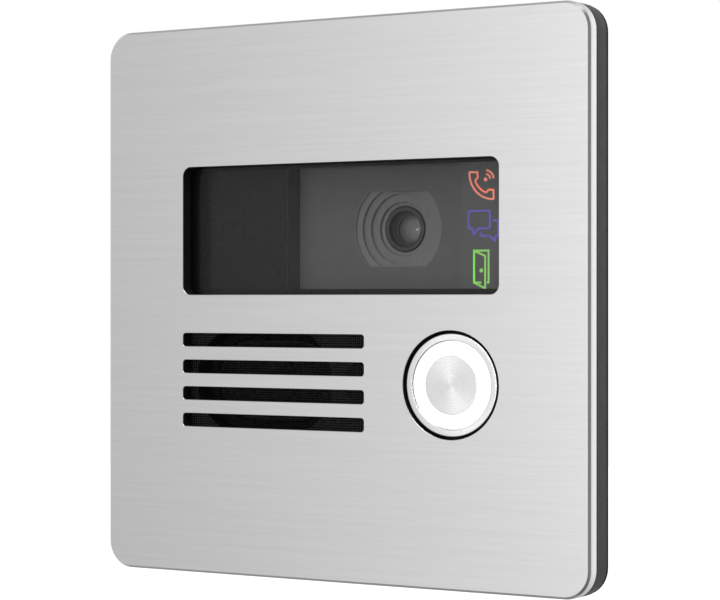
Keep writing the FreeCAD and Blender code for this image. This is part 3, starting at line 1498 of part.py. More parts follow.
def make_terminal_blocks():
    blocks = Piece("terminal_blocks")
    top = terminal_bottom + terminal_length
    for middle in terminal_middles:
        place = (middle, board_rear - terminal_height / 2)
        blocks.pad(box(block_width, terminal_height), terminal_bottom, top, at=place, run="up")
        for across in terminal_columns(middle):
            wire_end = terminal_bottom + wire_depth
            wire_place = (across, board_rear - wire_level)
            blocks.cut(disc(wire_hole), terminal_bottom, wire_end, at=wire_place, run="up")
            driver_end = terminal_bottom + driver_depth
            driver_place = (across, board_rear - driver_level)
            blocks.cut(disc(terminal_screw), terminal_bottom, driver_end, at=driver_place, run="up")


def make_terminal_screws():
    screws = Piece("terminal_screws")
    low = terminal_bottom + driver_recess
    high = terminal_bottom + driver_depth
    for middle in terminal_middles:
        for across in terminal_columns(middle):
            place = (across, board_rear - driver_level)
            screws.pad(disc(terminal_screw), low, high, at=place, run="up")


def make_reset_button():
    button = Piece("reset_button")
    place = (reset_across, reset_station)
    tip = -bay_top - reset_stand
    button.pad(disc(reset_radius), tip, reset_end, at=place, run="up")


def make_reset_switch():
    switch = Piece("reset_switch")
    low = -bay_top + cover_wall + reset_switch_gap
    high = low + reset_switch_length
    place = (reset_across, board_rear - reset_switch_height / 2)
    switch.pad(box(reset_switch_width, reset_switch_height), low, high, at=place, run="up")
    bore = disc(reset_radius + plunger_fit)
    bore_end = reset_end + reset_travel + reset_room
    switch.cut(bore, low, bore_end, at=(reset_across, reset_station), run="up")


# ---------------------------------------------------------------- bracket, seal and lock screws

tab_level = -(lip_inner / 2 - bracket_gap - hook_sheet / 2)


def make_wall_bracket():
    bracket = Piece("wall_bracket")
    outside = lip_inner - bracket_gap * 2
    inside = body_side + bracket_clear * 2
    outer = (outside, outside, lip_corner)
    inner = (inside, inside, tub_corner + bracket_clear)
    bracket.pad(frame(outer, inner), 0, bracket_thick)
    hook_level = outside / 2 - hook_sheet / 2
    for side in both_sides(hook_across):
        reach = box(hook_width, hook_sheet)
        bracket.pad(reach, bracket_thick, hook_front, at=(side, hook_level))
        upturn = box(hook_width, hook_sheet)
        top = lip_inner / 2 + hook_rise
        middle = (side, hook_front - hook_sheet / 2)
        bracket.pad(upturn, outside / 2, top, at=middle, run="up")
    for side in both_sides(tab_across):
        tab = box(hook_width, hook_sheet)
        bracket.pad(tab, bracket_thick, tab_front, at=(side, tab_level))
        axis = (side, lock_station)
        low = -outside / 2
        bracket.cut(disc(lock_radius), low, low + hook_sheet, at=axis, run="up")
    wall_screw_place = panel_side / 2 - bracket_screw_inset
    for place in corners_of(wall_screw_place, wall_screw_place):
        bracket.cut(disc(bracket_hole), 0, bracket_thick, at=place)


def make_security_screws():
    screws = Piece("security_screws")
    bottom = -panel_side / 2 + lock_recess
    for side in both_sides(tab_across):
        axis = (side, lock_station)
        head_top = bottom + lock_head_depth - lock_recess
        screws.pad(disc(lock_head), bottom, head_top, at=axis, run="up")
        screws.pad(disc(lock_radius), head_top, bottom + lock_length, at=axis, run="up")
        screws.cut(hexagon(drive_radius), bottom, bottom + lock_head_depth / 2, at=axis, run="up")


def make_wall_seal():
    seal = Piece("wall_seal")
    outside = panel_side - seal_inset * 2
    outer = (outside, outside, plate_corner - seal_inset)
    hole = lip_inner + seal_clear * 2
    inner = (hole, hole, lip_corner)
    seal.pad(frame(outer, inner), 0, seal_thick)


# ---------------------------------------------------------------- build, check and write

MAKERS = [
    make_front_plate,
    make_front_plate_nuts,
    make_window_seal,
    make_window_pane,
    make_camera_bezel,
    make_bezel_screws,
    make_ir_filter_block,
    make_ir_led_board,
    make_ir_leds,
    make_lens_barrel,
    make_lens_glass,
    make_lens_holder,
    make_image_sensor,
    make_camera_board,
    make_camera_board_screws,
    make_board_connector,
    make_status_sign_film,
    make_status_light_box,
    make_status_led_board,
    make_status_leds,
    make_speaker_mesh,
    make_speaker_gasket,
    make_speaker_frame,
    make_speaker_screws,
    make_speaker_magnet,
    make_speaker_surround,
    make_speaker_cone,
    make_microphone_boot,
    make_microphone,
    make_button_bezel_ring,
    make_button_light_ring,
    make_button_disc,
    make_button_carrier,
    make_button_seal,
    make_button_guide,
    make_button_guide_screws,
    make_button_led_board,
    make_button_leds,
    make_button_switch,
    make_switch_plunger,
    make_front_housing,
    make_housing_gasket,
    make_rear_cover,
    make_pressure_vent,
    make_rear_cover_screws,
    make_main_board,
    make_main_board_screws,
    make_processor,
    make_heat_sink,
    make_board_capacitors,
    make_network_socket,
    make_terminal_blocks,
    make_terminal_screws,
    make_reset_button,
    make_reset_switch,
    make_wall_bracket,
    make_security_screws,
    make_wall_seal,
]


def faults():
    """What is wrong with the document, as lines of text."""
    found = []
    for thing in doc.Objects:
        if any(word in ("Invalid", "Error") for word in thing.State):
            found.append(f"{thing.Label} ({thing.TypeId}) is {', '.join(thing.State)}")
    for piece in pieces:
        shape = piece.body.Shape
        if shape.isNull() or not shape.isValid() or not shape.Solids:
            found.append(f"{piece.body.Label} has no valid solid")
        for feature in piece.cuts:
            before = feature.BaseFeature.Shape
            after = feature.Shape
            if before.isNull() or after.isNull() or after.Volume > before.Volume - 1e-4:
                found.append(f"{piece.body.Label}: {feature.Name} cuts nothing")
    return found


for make in MAKERS:
    make()
    doc.recompute()
doc.recompute()

problems = faults()
for problem in problems:
    print("FAULT:", problem)
if problems:
    sys.exit(1)

os.makedirs("parts", exist_ok=True)
for piece in pieces:
    piece.body.Shape.exportStep(os.path.join("parts", f"{piece.body.Label}.step"))
print(f"wrote {len(pieces)} sub-parts")
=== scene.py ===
"""The looks of a square door intercom panel: brushed faceplate, smoked camera window, lit call button.

Each section makes one piece or group of like pieces, in the order the panel goes together,
front to back. Lengths are in metres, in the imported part's own frame: x right, z up, -y outward.
"""

import math
from functools import partial

import bmesh
import bpy
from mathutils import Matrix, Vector


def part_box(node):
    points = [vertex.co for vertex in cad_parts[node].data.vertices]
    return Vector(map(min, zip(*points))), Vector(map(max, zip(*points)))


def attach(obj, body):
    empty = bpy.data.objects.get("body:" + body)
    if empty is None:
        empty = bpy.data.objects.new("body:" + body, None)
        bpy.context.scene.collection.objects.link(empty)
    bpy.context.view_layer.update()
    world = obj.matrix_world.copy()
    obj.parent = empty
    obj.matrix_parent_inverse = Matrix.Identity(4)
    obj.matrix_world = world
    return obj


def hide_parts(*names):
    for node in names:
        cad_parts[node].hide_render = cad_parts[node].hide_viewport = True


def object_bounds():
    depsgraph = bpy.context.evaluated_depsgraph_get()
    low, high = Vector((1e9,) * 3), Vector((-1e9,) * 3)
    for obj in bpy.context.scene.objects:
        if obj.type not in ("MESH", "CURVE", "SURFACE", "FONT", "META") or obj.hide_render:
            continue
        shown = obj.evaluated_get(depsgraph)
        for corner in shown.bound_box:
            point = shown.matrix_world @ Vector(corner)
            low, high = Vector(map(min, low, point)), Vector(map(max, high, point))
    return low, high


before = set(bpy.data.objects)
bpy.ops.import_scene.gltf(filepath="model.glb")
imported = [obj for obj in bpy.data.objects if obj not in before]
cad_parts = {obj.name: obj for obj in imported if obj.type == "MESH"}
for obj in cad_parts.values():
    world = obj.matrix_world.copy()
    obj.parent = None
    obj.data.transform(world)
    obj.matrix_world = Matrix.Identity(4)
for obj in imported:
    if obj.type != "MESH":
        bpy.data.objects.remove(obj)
cad_box = [list(corner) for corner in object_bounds()]
scene = bpy.context.scene
mm = 0.001


# -------- studio
# A camera to the right of the panel and level with its middle, in a light tent: pale all round,
# dimmer overhead and underfoot, with a grey card at the right that draws the faceplate's edges.
# The floor is matt and pale. The panel hangs above it, as it hangs on its wall.
view_turn = math.radians(31.4)
view_reach = 498.5 * mm
view_aim = Vector((0.9 * mm, 0.5 * mm, 0.0))
floor_drop = 190 * mm
floor_radius = 3.0

camera_data = bpy.data.cameras.new("camera")
camera_data.sensor_width = 36.0
camera_data.lens = 115.9
camera = bpy.data.objects.new("camera", camera_data)
scene.collection.objects.link(camera)
camera.location = view_aim + view_reach * Vector((math.sin(view_turn), -math.cos(view_turn), 0.0))
camera.rotation_euler = (math.radians(90), 0.0, view_turn)
scene.camera = camera
scene.view_settings.view_transform = "Standard"


def put(tree, kind, inputs=None, **settings):
    """Adds a node to a tree. inputs holds a value or another node's output for each input socket."""
    node = tree.nodes.new(kind)
    for setting, value in settings.items():
        setattr(node, setting, value)
    for label, source in (inputs or {}).items():
        if isinstance(source, bpy.types.NodeSocket):
            tree.links.new(source, node.inputs[label])
        else:
            node.inputs[label].default_value = source
    return node


def sum_of(tree, operation, first, second=0.0, third=0.0):
    """One sum in a tree."""
    return put(tree, "ShaderNodeMath", {0: first, 1: second, 2: third}, operation=operation).outputs[0]


def new_finish(name):
    """An empty finish, with its node tree and its shader."""
    finish = bpy.data.materials.new(name)
    finish.use_nodes = True
    return finish, finish.node_tree, finish.node_tree.nodes["Principled BSDF"]


def stand(name, mesh, finishes):
    """Makes a mesh an object of the scene. It carries the given finishes, in order."""
    data = bpy.data.meshes.new(name)
    mesh.to_mesh(data)
    mesh.free()
    for finish in finishes:
        data.materials.append(finish)
    thing = bpy.data.objects.new(name, data)
    scene.collection.objects.link(thing)
    return thing


def ramp(tree, position, stops):
    """A grey ramp: stops are (position, brightness) pairs."""
    node = put(tree, "ShaderNodeValToRGB", {0: position})
    node.color_ramp.interpolation = "EASE"
    while len(node.color_ramp.elements) < len(stops):
        node.color_ramp.elements.new(1.0)
    for element, (place, bright) in zip(node.color_ramp.elements, stops):
        element.position = place
        element.color = (bright, bright, bright, 1.0)
    return node.outputs["Color"]


def hang_light_tent():
    tent = bpy.data.worlds.new("light tent")
    tent.use_nodes = True
    scene.world = tent
    tree = tent.node_tree
    way = put(tree, "ShaderNodeTexCoord").outputs["Generated"]
    axes = put(tree, "ShaderNodeSeparateXYZ", {0: way})
    outward = sum_of(tree, "MULTIPLY", axes.outputs["Y"], -1.0)
    turn = sum_of(tree, "ARCTAN2", axes.outputs["X"], outward)
    round_share = put(tree, "ShaderNodeMapRange", {0: turn, 1: -math.pi, 2: math.pi})
    cards = [
        (-180, 0.88), (-110, 0.80), (-60, 0.36), (-39, 0.53), (-31, 0.75), (-24, 0.92), (0, 0.92), (32, 0.88),
        (50, 0.30), (64, 0.20), (98, 0.28), (126, 0.60), (146, 1.0), (180, 0.88),
    ]
    round_light = ramp(tree, round_share.outputs[0], [((at + 180) / 360, bright) for at, bright in cards])
    high_share = put(tree, "ShaderNodeMapRange", {0: axes.outputs["Z"], 1: -1.0, 2: 1.0})
    levels = [(0.0, 0.30), (0.36, 0.78), (0.5, 0.95), (0.62, 1.0), (1.0, 0.45)]
    high_light = ramp(tree, high_share.outputs[0], levels)
    light = put(tree, "ShaderNodeMix", {0: 1.0, 6: round_light, 7: high_light}, data_type="RGBA",
                blend_type="MULTIPLY")
    tent_light = tree.nodes["Background"]
    tree.links.new(light.outputs[2], tent_light.inputs["Color"])
    tent_light.inputs["Strength"].default_value = 1.2
    plain_white = put(tree, "ShaderNodeBackground", {"Color": (1, 1, 1, 1), "Strength": 1.0})
    seen = put(tree, "ShaderNodeLightPath").outputs["Is Camera Ray"]
    shown = put(tree, "ShaderNodeMixShader", {0: seen, 1: tent_light.outputs[0], 2: plain_white.outputs[0]})
    tree.links.new(shown.outputs[0], tree.nodes["World Output"].inputs["Surface"])


def hang_lamp(name, turn, rise, reach, side, power):
    """A square soft lamp that faces the panel, turned from straight ahead and raised, in degrees."""
    data = bpy.data.lights.new(name, "AREA")
    data.size = side
    data.energy = power
    lamp = bpy.data.objects.new(name, data)
    scene.collection.objects.link(lamp)
    across, up = math.radians(turn), math.radians(rise)
    away = Vector((math.sin(across) * math.cos(up), -math.cos(across) * math.cos(up), math.sin(up)))
    lamp.location = away * reach
    lamp.rotation_euler = away.to_track_quat("Z", "Y").to_euler()


def lay_floor():
    finish, tree, shader = new_finish("pale floor")
    place = put(tree, "ShaderNodeTexCoord").outputs["Object"]
    mottle = put(tree, "ShaderNodeTexNoise", {"Vector": place, "Scale": 2.0, "Detail": 3.0})
    tone = ramp(tree, mottle.outputs[0], [(0.3, 0.84), (0.7, 0.87)])
    tree.links.new(tone, shader.inputs["Base Color"])
    shader.inputs["Roughness"].default_value = 0.8
    shader.inputs["Specular IOR Level"].default_value = 0.1
    shader.inputs["Emission Color"].default_value = (1.0, 1.0, 1.0, 1.0)
    shader.inputs["Emission Strength"].default_value = 0.7
    from_below = put(tree, "ShaderNodeNewGeometry").outputs["Backfacing"]
    clear = put(tree, "ShaderNodeBsdfTransparent")
    shown = put(tree, "ShaderNodeMixShader", {0: from_below, 1: shader.outputs[0], 2: clear.outputs[0]})
    tree.links.new(shown.outputs[0], tree.nodes["Material Output"].inputs["Surface"])
    mesh = bmesh.new()
    bmesh.ops.create_circle(mesh, cap_ends=True, segments=96, radius=floor_radius)
    floor = stand("floor", mesh, [finish])
    floor.location.z = cad_box[0][2] - floor_drop
    floor.visible_glossy = False
    floor.visible_diffuse = False
    floor.visible_transmission = False
    floor.visible_shadow = False


hang_light_tent()
hang_lamp("front lamp", turn=-6, rise=2, reach=0.9, side=0.07, power=0.9)
hang_lamp("top lamp", turn=24, rise=52, reach=0.8, side=0.5, power=2.2)
lay_floor()


# -------- faceplate
# Stainless plate 3 mm thick, cut by laser and brushed along its width before the rim is chamfered.
# The walls of its openings are coloured near black: painted shade for the dark they show. Six studs are
# welded to its back, and nuts hold it on.
plate_corner = 6.0 * mm
plate_chamfer = 0.6 * mm
plate_back_chamfer = 0.3 * mm
broken_edge = 0.07 * mm
rolled_edge = 0.13 * mm
window_rise = 15.2 * mm
window_width, window_height, window_corner = 78.8 * mm, 28.1 * mm, 2.0 * mm
slot_width, slot_height, slot_corner = 46.7 * mm, 2.92 * mm, 0.7 * mm
slot_pitch = 5.87 * mm
slot_count = 4
button_gap = 0.6 * mm
stud_radius = 1.25 * mm


def middle_of(low, high):
    """The middle of a box across and up."""
    return (low.x + high.x) / 2, (low.z + high.z) / 2


ring_low, ring_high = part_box("button_bezel_ring")
button_middle = middle_of(ring_low, ring_high)
button_radius = (ring_high.x - ring_low.x) / 2
plate_low, plate_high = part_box("front_plate")
pane_low, pane_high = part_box("window_pane")
plate_front, plate_back = plate_low.y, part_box("front_housing")[0].y
slots_across = (slot_width - window_width) / 2


def round_box(width, height, corner, middle=(0.0, 0.0), steps=10):
    """A rectangle with round corners, as a function that gives its points grown all round by some amount."""

    def grown(grow):
        radius = corner + grow
        points = []
        for quarter, (side, level) in enumerate(((1, 1), (-1, 1), (-1, -1), (1, -1))):
            across = middle[0] + side * (width / 2 - corner)
            up = middle[1] + level * (height / 2 - corner)
            for step in range(steps + 1):
                angle = math.radians(90) * (quarter + step / steps)
                points.append((across + radius * math.cos(angle), up + radius * math.sin(angle)))
        return points

    return grown


def round_hole(radius, middle, steps=96):
    """A circle, as a function that gives its points grown all round by some amount."""

    def grown(grow):
        angles = [math.tau * step / steps for step in range(steps)]
        reach = radius + grow
        return [(middle[0] + reach * math.cos(a), middle[1] + reach * math.sin(a)) for a in angles]

    return grown


def sheet(outer, holes, rim, lip=None):
    """A flat piece with holes. rim and lip are (inset, depth) stations down the outer and the inner edges.

    The wall of a hole, between its second and third stations, takes the piece's second finish.
    """
    mesh = bmesh.new()
    front, back = [], []
    for outline, side, stations in [(outer, -1, rim)] + [(hole, 1, lip or rim) for hole in holes]:
        rings = [
            [mesh.verts.new((across, depth, up)) for across, up in outline(side * inset)]
            for inset, depth in stations
        ]
        for level, (near, far) in enumerate(zip(rings, rings[1:])):
            for here in range(len(near)):
                after = (here + 1) % len(near)
                wall = mesh.faces.new((near[here], near[after], far[after], far[here]))
                wall.material_index = 1 if side == 1 and level == 1 else 0
        for loops, ring in ((front, rings[0]), (back, rings[-1])):
            loops += [mesh.edges.get((ring[i - 1], ring[i])) for i in range(len(ring))]
    for loops in (front, back):
        bmesh.ops.triangle_fill(mesh, use_beauty=True, edges=loops)
    bmesh.ops.recalc_face_normals(mesh, faces=mesh.faces)
    return mesh


def post(mesh, radius, front, back, middle, steps=32):
    """Adds a round post along y to a mesh."""
    rings = [[mesh.verts.new((x, depth, z)) for x, z in round_hole(radius, middle, steps)(0)]
             for depth in (front, back)]
    for here in range(steps):
        after = (here + 1) % steps
        mesh.faces.new((rings[0][here], rings[0][after], rings[1][after], rings[1][here]))
    mesh.faces.new(rings[0][::-1])
    mesh.faces.new(rings[1])


def merged(node):
    """A CAD node's mesh with its doubled corners joined."""
    mesh = bmesh.new()
    mesh.from_mesh(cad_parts[node].data)
    bmesh.ops.remove_doubles(mesh, verts=mesh.verts, dist=0.001 * mm)
    return mesh


def solids(node):
    """The low and high corners of every separate solid in a CAD node, in order of place."""
    mesh = merged(node)
    waiting = set(mesh.verts)
    boxes = []
    while waiting:
        group, border = set(), [waiting.pop()]
        while border:
            vert = border.pop()
            group.add(vert)
            near = {edge.other_vert(vert) for edge in vert.link_edges} & waiting
            waiting -= near
            border += near
        low = Vector(min(vert.co[axis] for vert in group) for axis in range(3))
        high = Vector(max(vert.co[axis] for vert in group) for axis in range(3))
        boxes.append((low, high))
    mesh.free()
    return sorted(boxes, key=lambda box: tuple(round(value, 6) for value in box[0]))


def settle(piece):
    """Turns a piece's modifiers into plain mesh."""
    graph = bpy.context.evaluated_depsgraph_get()
    data = bpy.data.meshes.new_from_object(piece.evaluated_get(graph))
    piece.modifiers.clear()
    piece.data = data


def ease_shading(piece, sharp=32):
    """Shades a piece smooth, with flat faces kept flat and edges past the given angle kept crisp."""
    piece.data.shade_smooth()
    piece.data.set_sharp_from_angle(angle=math.radians(sharp))
    weighted = piece.modifiers.new("flat faces", "WEIGHTED_NORMAL")
    weighted.keep_sharp = True
    settle(piece)


def join_body(piece, body, slot, *nodes):
    """Ends a piece: it rides on a body and stands for CAD nodes, which it hides. slot is not used."""
    ease_shading(piece)
    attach(piece, body)
    if nodes:
        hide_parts(*nodes)


def fit(name, mesh, finishes, body, slot, *nodes):
    """Makes a mesh a finished piece. A list gives it several finishes."""
    join_body(stand(name, mesh, finishes if isinstance(finishes, list) else [finishes]), body, slot, *nodes)


def brush_group():
    """A shader group for brushed metal: tone and height of fine lines, long one way and thin across."""
    group = bpy.data.node_groups.new("brush lines", "ShaderNodeTree")
    for label in ("Vector", "Stretch"):
        group.interface.new_socket(label, in_out="INPUT", socket_type="NodeSocketVector")
    for label in ("Tone", "Height"):
        group.interface.new_socket(label, in_out="OUTPUT", socket_type="NodeSocketFloat")
    given, made = put(group, "NodeGroupInput"), put(group, "NodeGroupOutput")
    stretched = {0: given.outputs["Vector"], 1: given.outputs["Stretch"]}
    place = put(group, "ShaderNodeVectorMath", stretched, operation="MULTIPLY")
    coarse = put(group, "ShaderNodeTexNoise", {"Vector": place.outputs[0], "Scale": 0.35, "Detail": 3.0})
    fine = put(group, "ShaderNodeTexNoise", {"Vector": place.outputs[0], "Scale": 1.6, "Detail": 4.0})
    blend = put(group, "ShaderNodeMix", {0: 0.55, 2: coarse.outputs[0], 3: fine.outputs[0]})
    group.links.new(blend.outputs[0], made.inputs["Tone"])
    group.links.new(fine.outputs[0], made.inputs["Height"])
    return group


brush_lines = brush_group()


def dress(tree, shader, masks, colours, shines, tone_band, shine_band, strength, depth):
    """Colour, roughness and bump of a finish, mixed by the tone and the height that masks gives."""
    tone = masks.outputs["Tone"]
    spread = put(tree, "ShaderNodeMapRange", {0: tone, 1: tone_band[0], 2: tone_band[1]})
    pair = {0: spread.outputs[0], 6: (*colours[0], 1.0), 7: (*colours[1], 1.0)}
    colour = put(tree, "ShaderNodeMix", pair, data_type="RGBA")
    band = {0: tone, 1: shine_band[0], 2: shine_band[1], 3: shines[0], 4: shines[1]}
    shine = put(tree, "ShaderNodeMapRange", band)
    relief = {"Height": masks.outputs["Height"], "Strength": strength, "Distance": depth * mm}
    bump = put(tree, "ShaderNodeBump", relief)
    tree.links.new(colour.outputs[2], shader.inputs["Base Color"])
    tree.links.new(shine.outputs[0], shader.inputs["Roughness"])
    tree.links.new(bump.outputs[0], shader.inputs["Normal"])


def brushed(name, dark, light, dull, bright, stretch, grain=0.0, rotation=0.0, radial=None, depth=0.006):
    """Brushed steel: two greys and two roughnesses mixed by brush lines.

    stretch is lines per metre each way, and depth is in mm.
    """
    finish, tree, shader = new_finish(name)
    place = put(tree, "ShaderNodeTexCoord").outputs["Object"]
    lines = put(tree, "ShaderNodeGroup", node_tree=brush_lines)
    tree.links.new(place, lines.inputs["Vector"])
    lines.inputs["Stretch"].default_value = stretch
    dress(tree, shader, lines, (dark, light), (dull, bright), tone_band=(0.36, 0.64), shine_band=(0.3, 0.7),
          strength=0.35, depth=depth)
    shader.inputs["Metallic"].default_value = 1.0
    if grain:
        shader.inputs["Anisotropic"].default_value = grain
        shader.inputs["Anisotropic Rotation"].default_value = rotation
        tangent = put(tree, "ShaderNodeTangent", direction_type="RADIAL", axis=radial)
        tree.links.new(tangent.outputs[0], shader.inputs["Tangent"])
    return finish


def grain_group():
    """A shader group for moulded and coated surfaces: a soft tone and a fine height, at a given size."""
    group = bpy.data.node_groups.new("moulded grain", "ShaderNodeTree")
    group.interface.new_socket("Vector", in_out="INPUT", socket_type="NodeSocketVector")
    group.interface.new_socket("Size", in_out="INPUT", socket_type="NodeSocketFloat")
    for label in ("Tone", "Height"):
        group.interface.new_socket(label, in_out="OUTPUT", socket_type="NodeSocketFloat")
    given, made = put(group, "NodeGroupInput"), put(group, "NodeGroupOutput")
    scale = sum_of(group, "DIVIDE", 1.0, given.outputs["Size"])
    broad = sum_of(group, "DIVIDE", 0.04, given.outputs["Size"])
    fine = put(group, "ShaderNodeTexNoise", {"Vector": given.outputs[0], "Scale": scale, "Detail": 3.0})
    soft = put(group, "ShaderNodeTexNoise", {"Vector": given.outputs[0], "Scale": broad, "Detail": 3.0})
    group.links.new(fine.outputs[0], made.inputs["Height"])
    group.links.new(soft.outputs[0], made.inputs["Tone"])
    return group


moulded_grain = grain_group()


def moulded(name, dark, light, dull, bright, size=0.12, relief=0.01, **plain):
    """A moulded or coated finish: two colours and two roughnesses mixed by a soft tone, over a fine grain.

    size and relief are the grain's, in mm; plain holds values for the shader's own sockets.
    """
    finish, tree, shader = new_finish(name)
    place = put(tree, "ShaderNodeTexCoord").outputs["Object"]
    grain = put(tree, "ShaderNodeGroup", node_tree=moulded_grain)
    tree.links.new(place, grain.inputs["Vector"])
    grain.inputs["Size"].default_value = size * mm
    band = (0.35, 0.65)
    dress(tree, shader, grain, (dark, light), (dull, bright), tone_band=band, shine_band=band,
          strength=0.4, depth=relief)
    for label, value in plain.items():
        shader.inputs[label.replace("_", " ")].default_value = value
    return finish


brushed_plate = brushed(
    "brushed plate steel", dark=(0.735, 0.735, 0.735), light=(0.785, 0.785, 0.785), dull=0.32, bright=0.27,
    stretch=(60.0, 3600.0, 3600.0), grain=0.55, rotation=0.25, radial="Z",
)
window = round_box(window_width, window_height, window_corner, middle=(0.0, window_rise), steps=8)
lowest_slot = button_middle[1] - slot_pitch * (slot_count - 1) / 2
slot_middles = [(slots_across, lowest_slot + slot_pitch * row) for row in range(slot_count)]
slots = [round_box(slot_width, slot_height, slot_corner, middle, steps=6) for middle in slot_middles]
button_opening = round_hole(button_radius + button_gap, button_middle)
faceplate_mesh = sheet(
    round_box(plate_high.x - plate_low.x, plate_high.z - plate_low.z, plate_corner, steps=20),
    [window, button_opening, *slots],
    rim=[(plate_chamfer, plate_front), (rolled_edge, plate_front + plate_chamfer - rolled_edge),
         (0.0, plate_front + plate_chamfer * 1.8), (0.0, plate_back - plate_back_chamfer),
         (plate_back_chamfer, plate_back)],
    lip=[(broken_edge, plate_front), (0.0, plate_front + broken_edge),
         (0.0, plate_back - broken_edge), (broken_edge, plate_back)],
)
nut_boxes = solids("front_plate_nuts")
for low, high in nut_boxes:
    post(faceplate_mesh, stud_radius, plate_back, plate_high.y, middle_of(low, high))
# The near-black colour on the openings' walls is painted shade, not a coating of the steel.
opening_wall_painted_shade = moulded(
    "opening walls with painted shade", dark=(0.008, 0.008, 0.008), light=(0.013, 0.013, 0.013), dull=0.6, bright=0.5,
    Specular_IOR_Level=0.25,
)
fit("faceplate", faceplate_mesh, [brushed_plate, opening_wall_painted_shade], "panel", "brushed_steel", "front_plate")


# -------- nuts on the faceplate's studs
# Six small hexagon nuts pull the faceplate down on the housing. They are stainless, turned from bar,
# with a bore as wide as the stud.
def geometry_tree(name, sizes):
    """An empty Geometry Nodes tree with its points, its sizes and its finish as named inputs."""
    tree = bpy.data.node_groups.new(name, "GeometryNodeTree")
    tree.interface.new_socket("Places", in_out="INPUT", socket_type="NodeSocketGeometry")
    for label, kind in {**sizes, "Finish": "Material"}.items():
        tree.interface.new_socket(label, in_out="INPUT", socket_type=f"NodeSocket{kind}")
    tree.interface.new_socket("Made", in_out="OUTPUT", socket_type="NodeSocketGeometry")
    return tree, put(tree, "NodeGroupInput").outputs


def finish_tree(tree, given, instances):
    """Ends a tree: instances made real, with the finish on them."""
    real = put(tree, "GeometryNodeRealizeInstances", {0: instances})
    coated = {"Geometry": real.outputs[0], "Material": given["Finish"]}
    finished = put(tree, "GeometryNodeSetMaterial", coated)
    put(tree, "NodeGroupOutput", {0: finished.outputs[0]})
    return tree


def grown_piece(name, tree, places, sizes, finish, body, slot, *nodes):
    """A piece that a tree makes at the given places, turned into plain mesh."""
    data = bpy.data.meshes.new(name)
    data.from_pydata(places, [], [])
    piece = bpy.data.objects.new(name, data)
    scene.collection.objects.link(piece)
    made = piece.modifiers.new("made", "NODES")
    made.node_group = tree
    values = {**sizes, "Finish": finish}
    for socket in tree.interface.items_tree:
        if socket.name in values:
            made[socket.identifier] = values[socket.name]
    settle(piece)
    join_body(piece, body, slot, *nodes)


def nut_tree():
    tree, given = geometry_tree("nuts", {"Corner Radius": "Float", "Height": "Float", "Bore": "Float"})
    times = partial(sum_of, tree, "MULTIPLY")
    sides = {"Radius": given["Corner Radius"], "Depth": given["Height"], "Vertices": 6}
    hexagon = put(tree, "GeometryNodeMeshCylinder", sides)
    barrel = {"Radius": times(given["Corner Radius"], 0.93), "Depth": given["Height"], "Vertices": 36}
    rounded = put(tree, "GeometryNodeMeshCylinder", barrel)
    corners = put(tree, "GeometryNodeMeshBoolean", {1: hexagon.outputs[0]},
                  operation="INTERSECT", solver="EXACT")
    tree.links.new(rounded.outputs[0], corners.inputs[1])
    through = {"Radius": given["Bore"], "Depth": times(given["Height"], 2.0), "Vertices": 28}
    bore = put(tree, "GeometryNodeMeshCylinder", through)
    holed = put(tree, "GeometryNodeMeshBoolean", {0: corners.outputs[0], 1: bore.outputs[0]},
                operation="DIFFERENCE", solver="EXACT")
    upright = put(tree, "FunctionNodeAlignRotationToVector", {"Vector": (0.0, 1.0, 0.0)})
    placed = put(tree, "GeometryNodeInstanceOnPoints",
                 {"Points": given["Places"], "Instance": holed.outputs[0], "Rotation": upright.outputs[0]})
    return finish_tree(tree, given, placed.outputs[0])


fastener_steel = brushed(
    "plain fastener steel", dark=(0.54, 0.54, 0.53), light=(0.68, 0.68, 0.67), dull=0.36, bright=0.26,
    stretch=(900.0, 900.0, 900.0),
)
nut_low, nut_high = nut_boxes[0]
grown_piece(
    "faceplate_nuts", nut_tree(), [(low + high) / 2 for low, high in nut_boxes],
    {"Corner Radius": (nut_high.x - nut_low.x) / 2, "Height": nut_high.y - nut_low.y, "Bore": stud_radius},
    fastener_steel, "panel", "fastener_steel", "front_plate_nuts",
)


# -------- window pane, its print and its seal
# Smoked polycarbonate, 2 mm thick, hard-coated outside. A black frame is printed on its back, round
# the window. An adhesive foam frame holds it to the back of the faceplate.
pane_corner = 2.5 * mm
pane_edge = 0.15 * mm
print_side, print_top, print_foot = 0.25 * mm, 0.7 * mm, 1.2 * mm
print_thick = 0.02 * mm


def plain_edge(front, back, ease):
    """Stations down an edge with both corners eased."""
    return [(ease, front), (ease * 0.3, front + ease * 0.3), (0.0, front + ease), (0.0, back - ease),
            (ease * 0.3, back - ease * 0.3), (ease, back)]


smoked_pane = moulded(
    "smoked pane", dark=(0.010, 0.010, 0.011), light=(0.012, 0.012, 0.013), dull=0.035, bright=0.02,
    size=4.0, relief=0.0005, Alpha=0.2, IOR=1.55,
)
pane_outline = round_box(
    pane_high.x - pane_low.x, pane_high.z - pane_low.z, pane_corner, middle_of(pane_low, pane_high), steps=8,
)
fit("pane", sheet(pane_outline, [], plain_edge(pane_low.y, pane_high.y - print_thick, pane_edge)),
    smoked_pane, "panel", "tinted_pane", "window_pane")

window_print = moulded(
    "black window print", dark=(0.006, 0.006, 0.006), light=(0.009, 0.009, 0.009), dull=0.5, bright=0.4,
)
seen_width = window_width - print_side * 2
seen_height = window_height - print_top - print_foot
seen_middle = (0.0, window_rise + (print_foot - print_top) / 2)
print_edge = [(0.0, pane_high.y - print_thick), (0.0, pane_high.y)]
seen_outline = round_box(seen_width, seen_height, window_corner, seen_middle, steps=8)
fit("pane_print", sheet(pane_outline, [seen_outline], print_edge), window_print, "panel", "tinted_pane")

seal_rubber = moulded(
    "black seal rubber", dark=(0.016, 0.016, 0.017), light=(0.028, 0.028, 0.029), dull=0.82, bright=0.68,
    size=0.2, relief=0.02, Specular_IOR_Level=0.3,
)


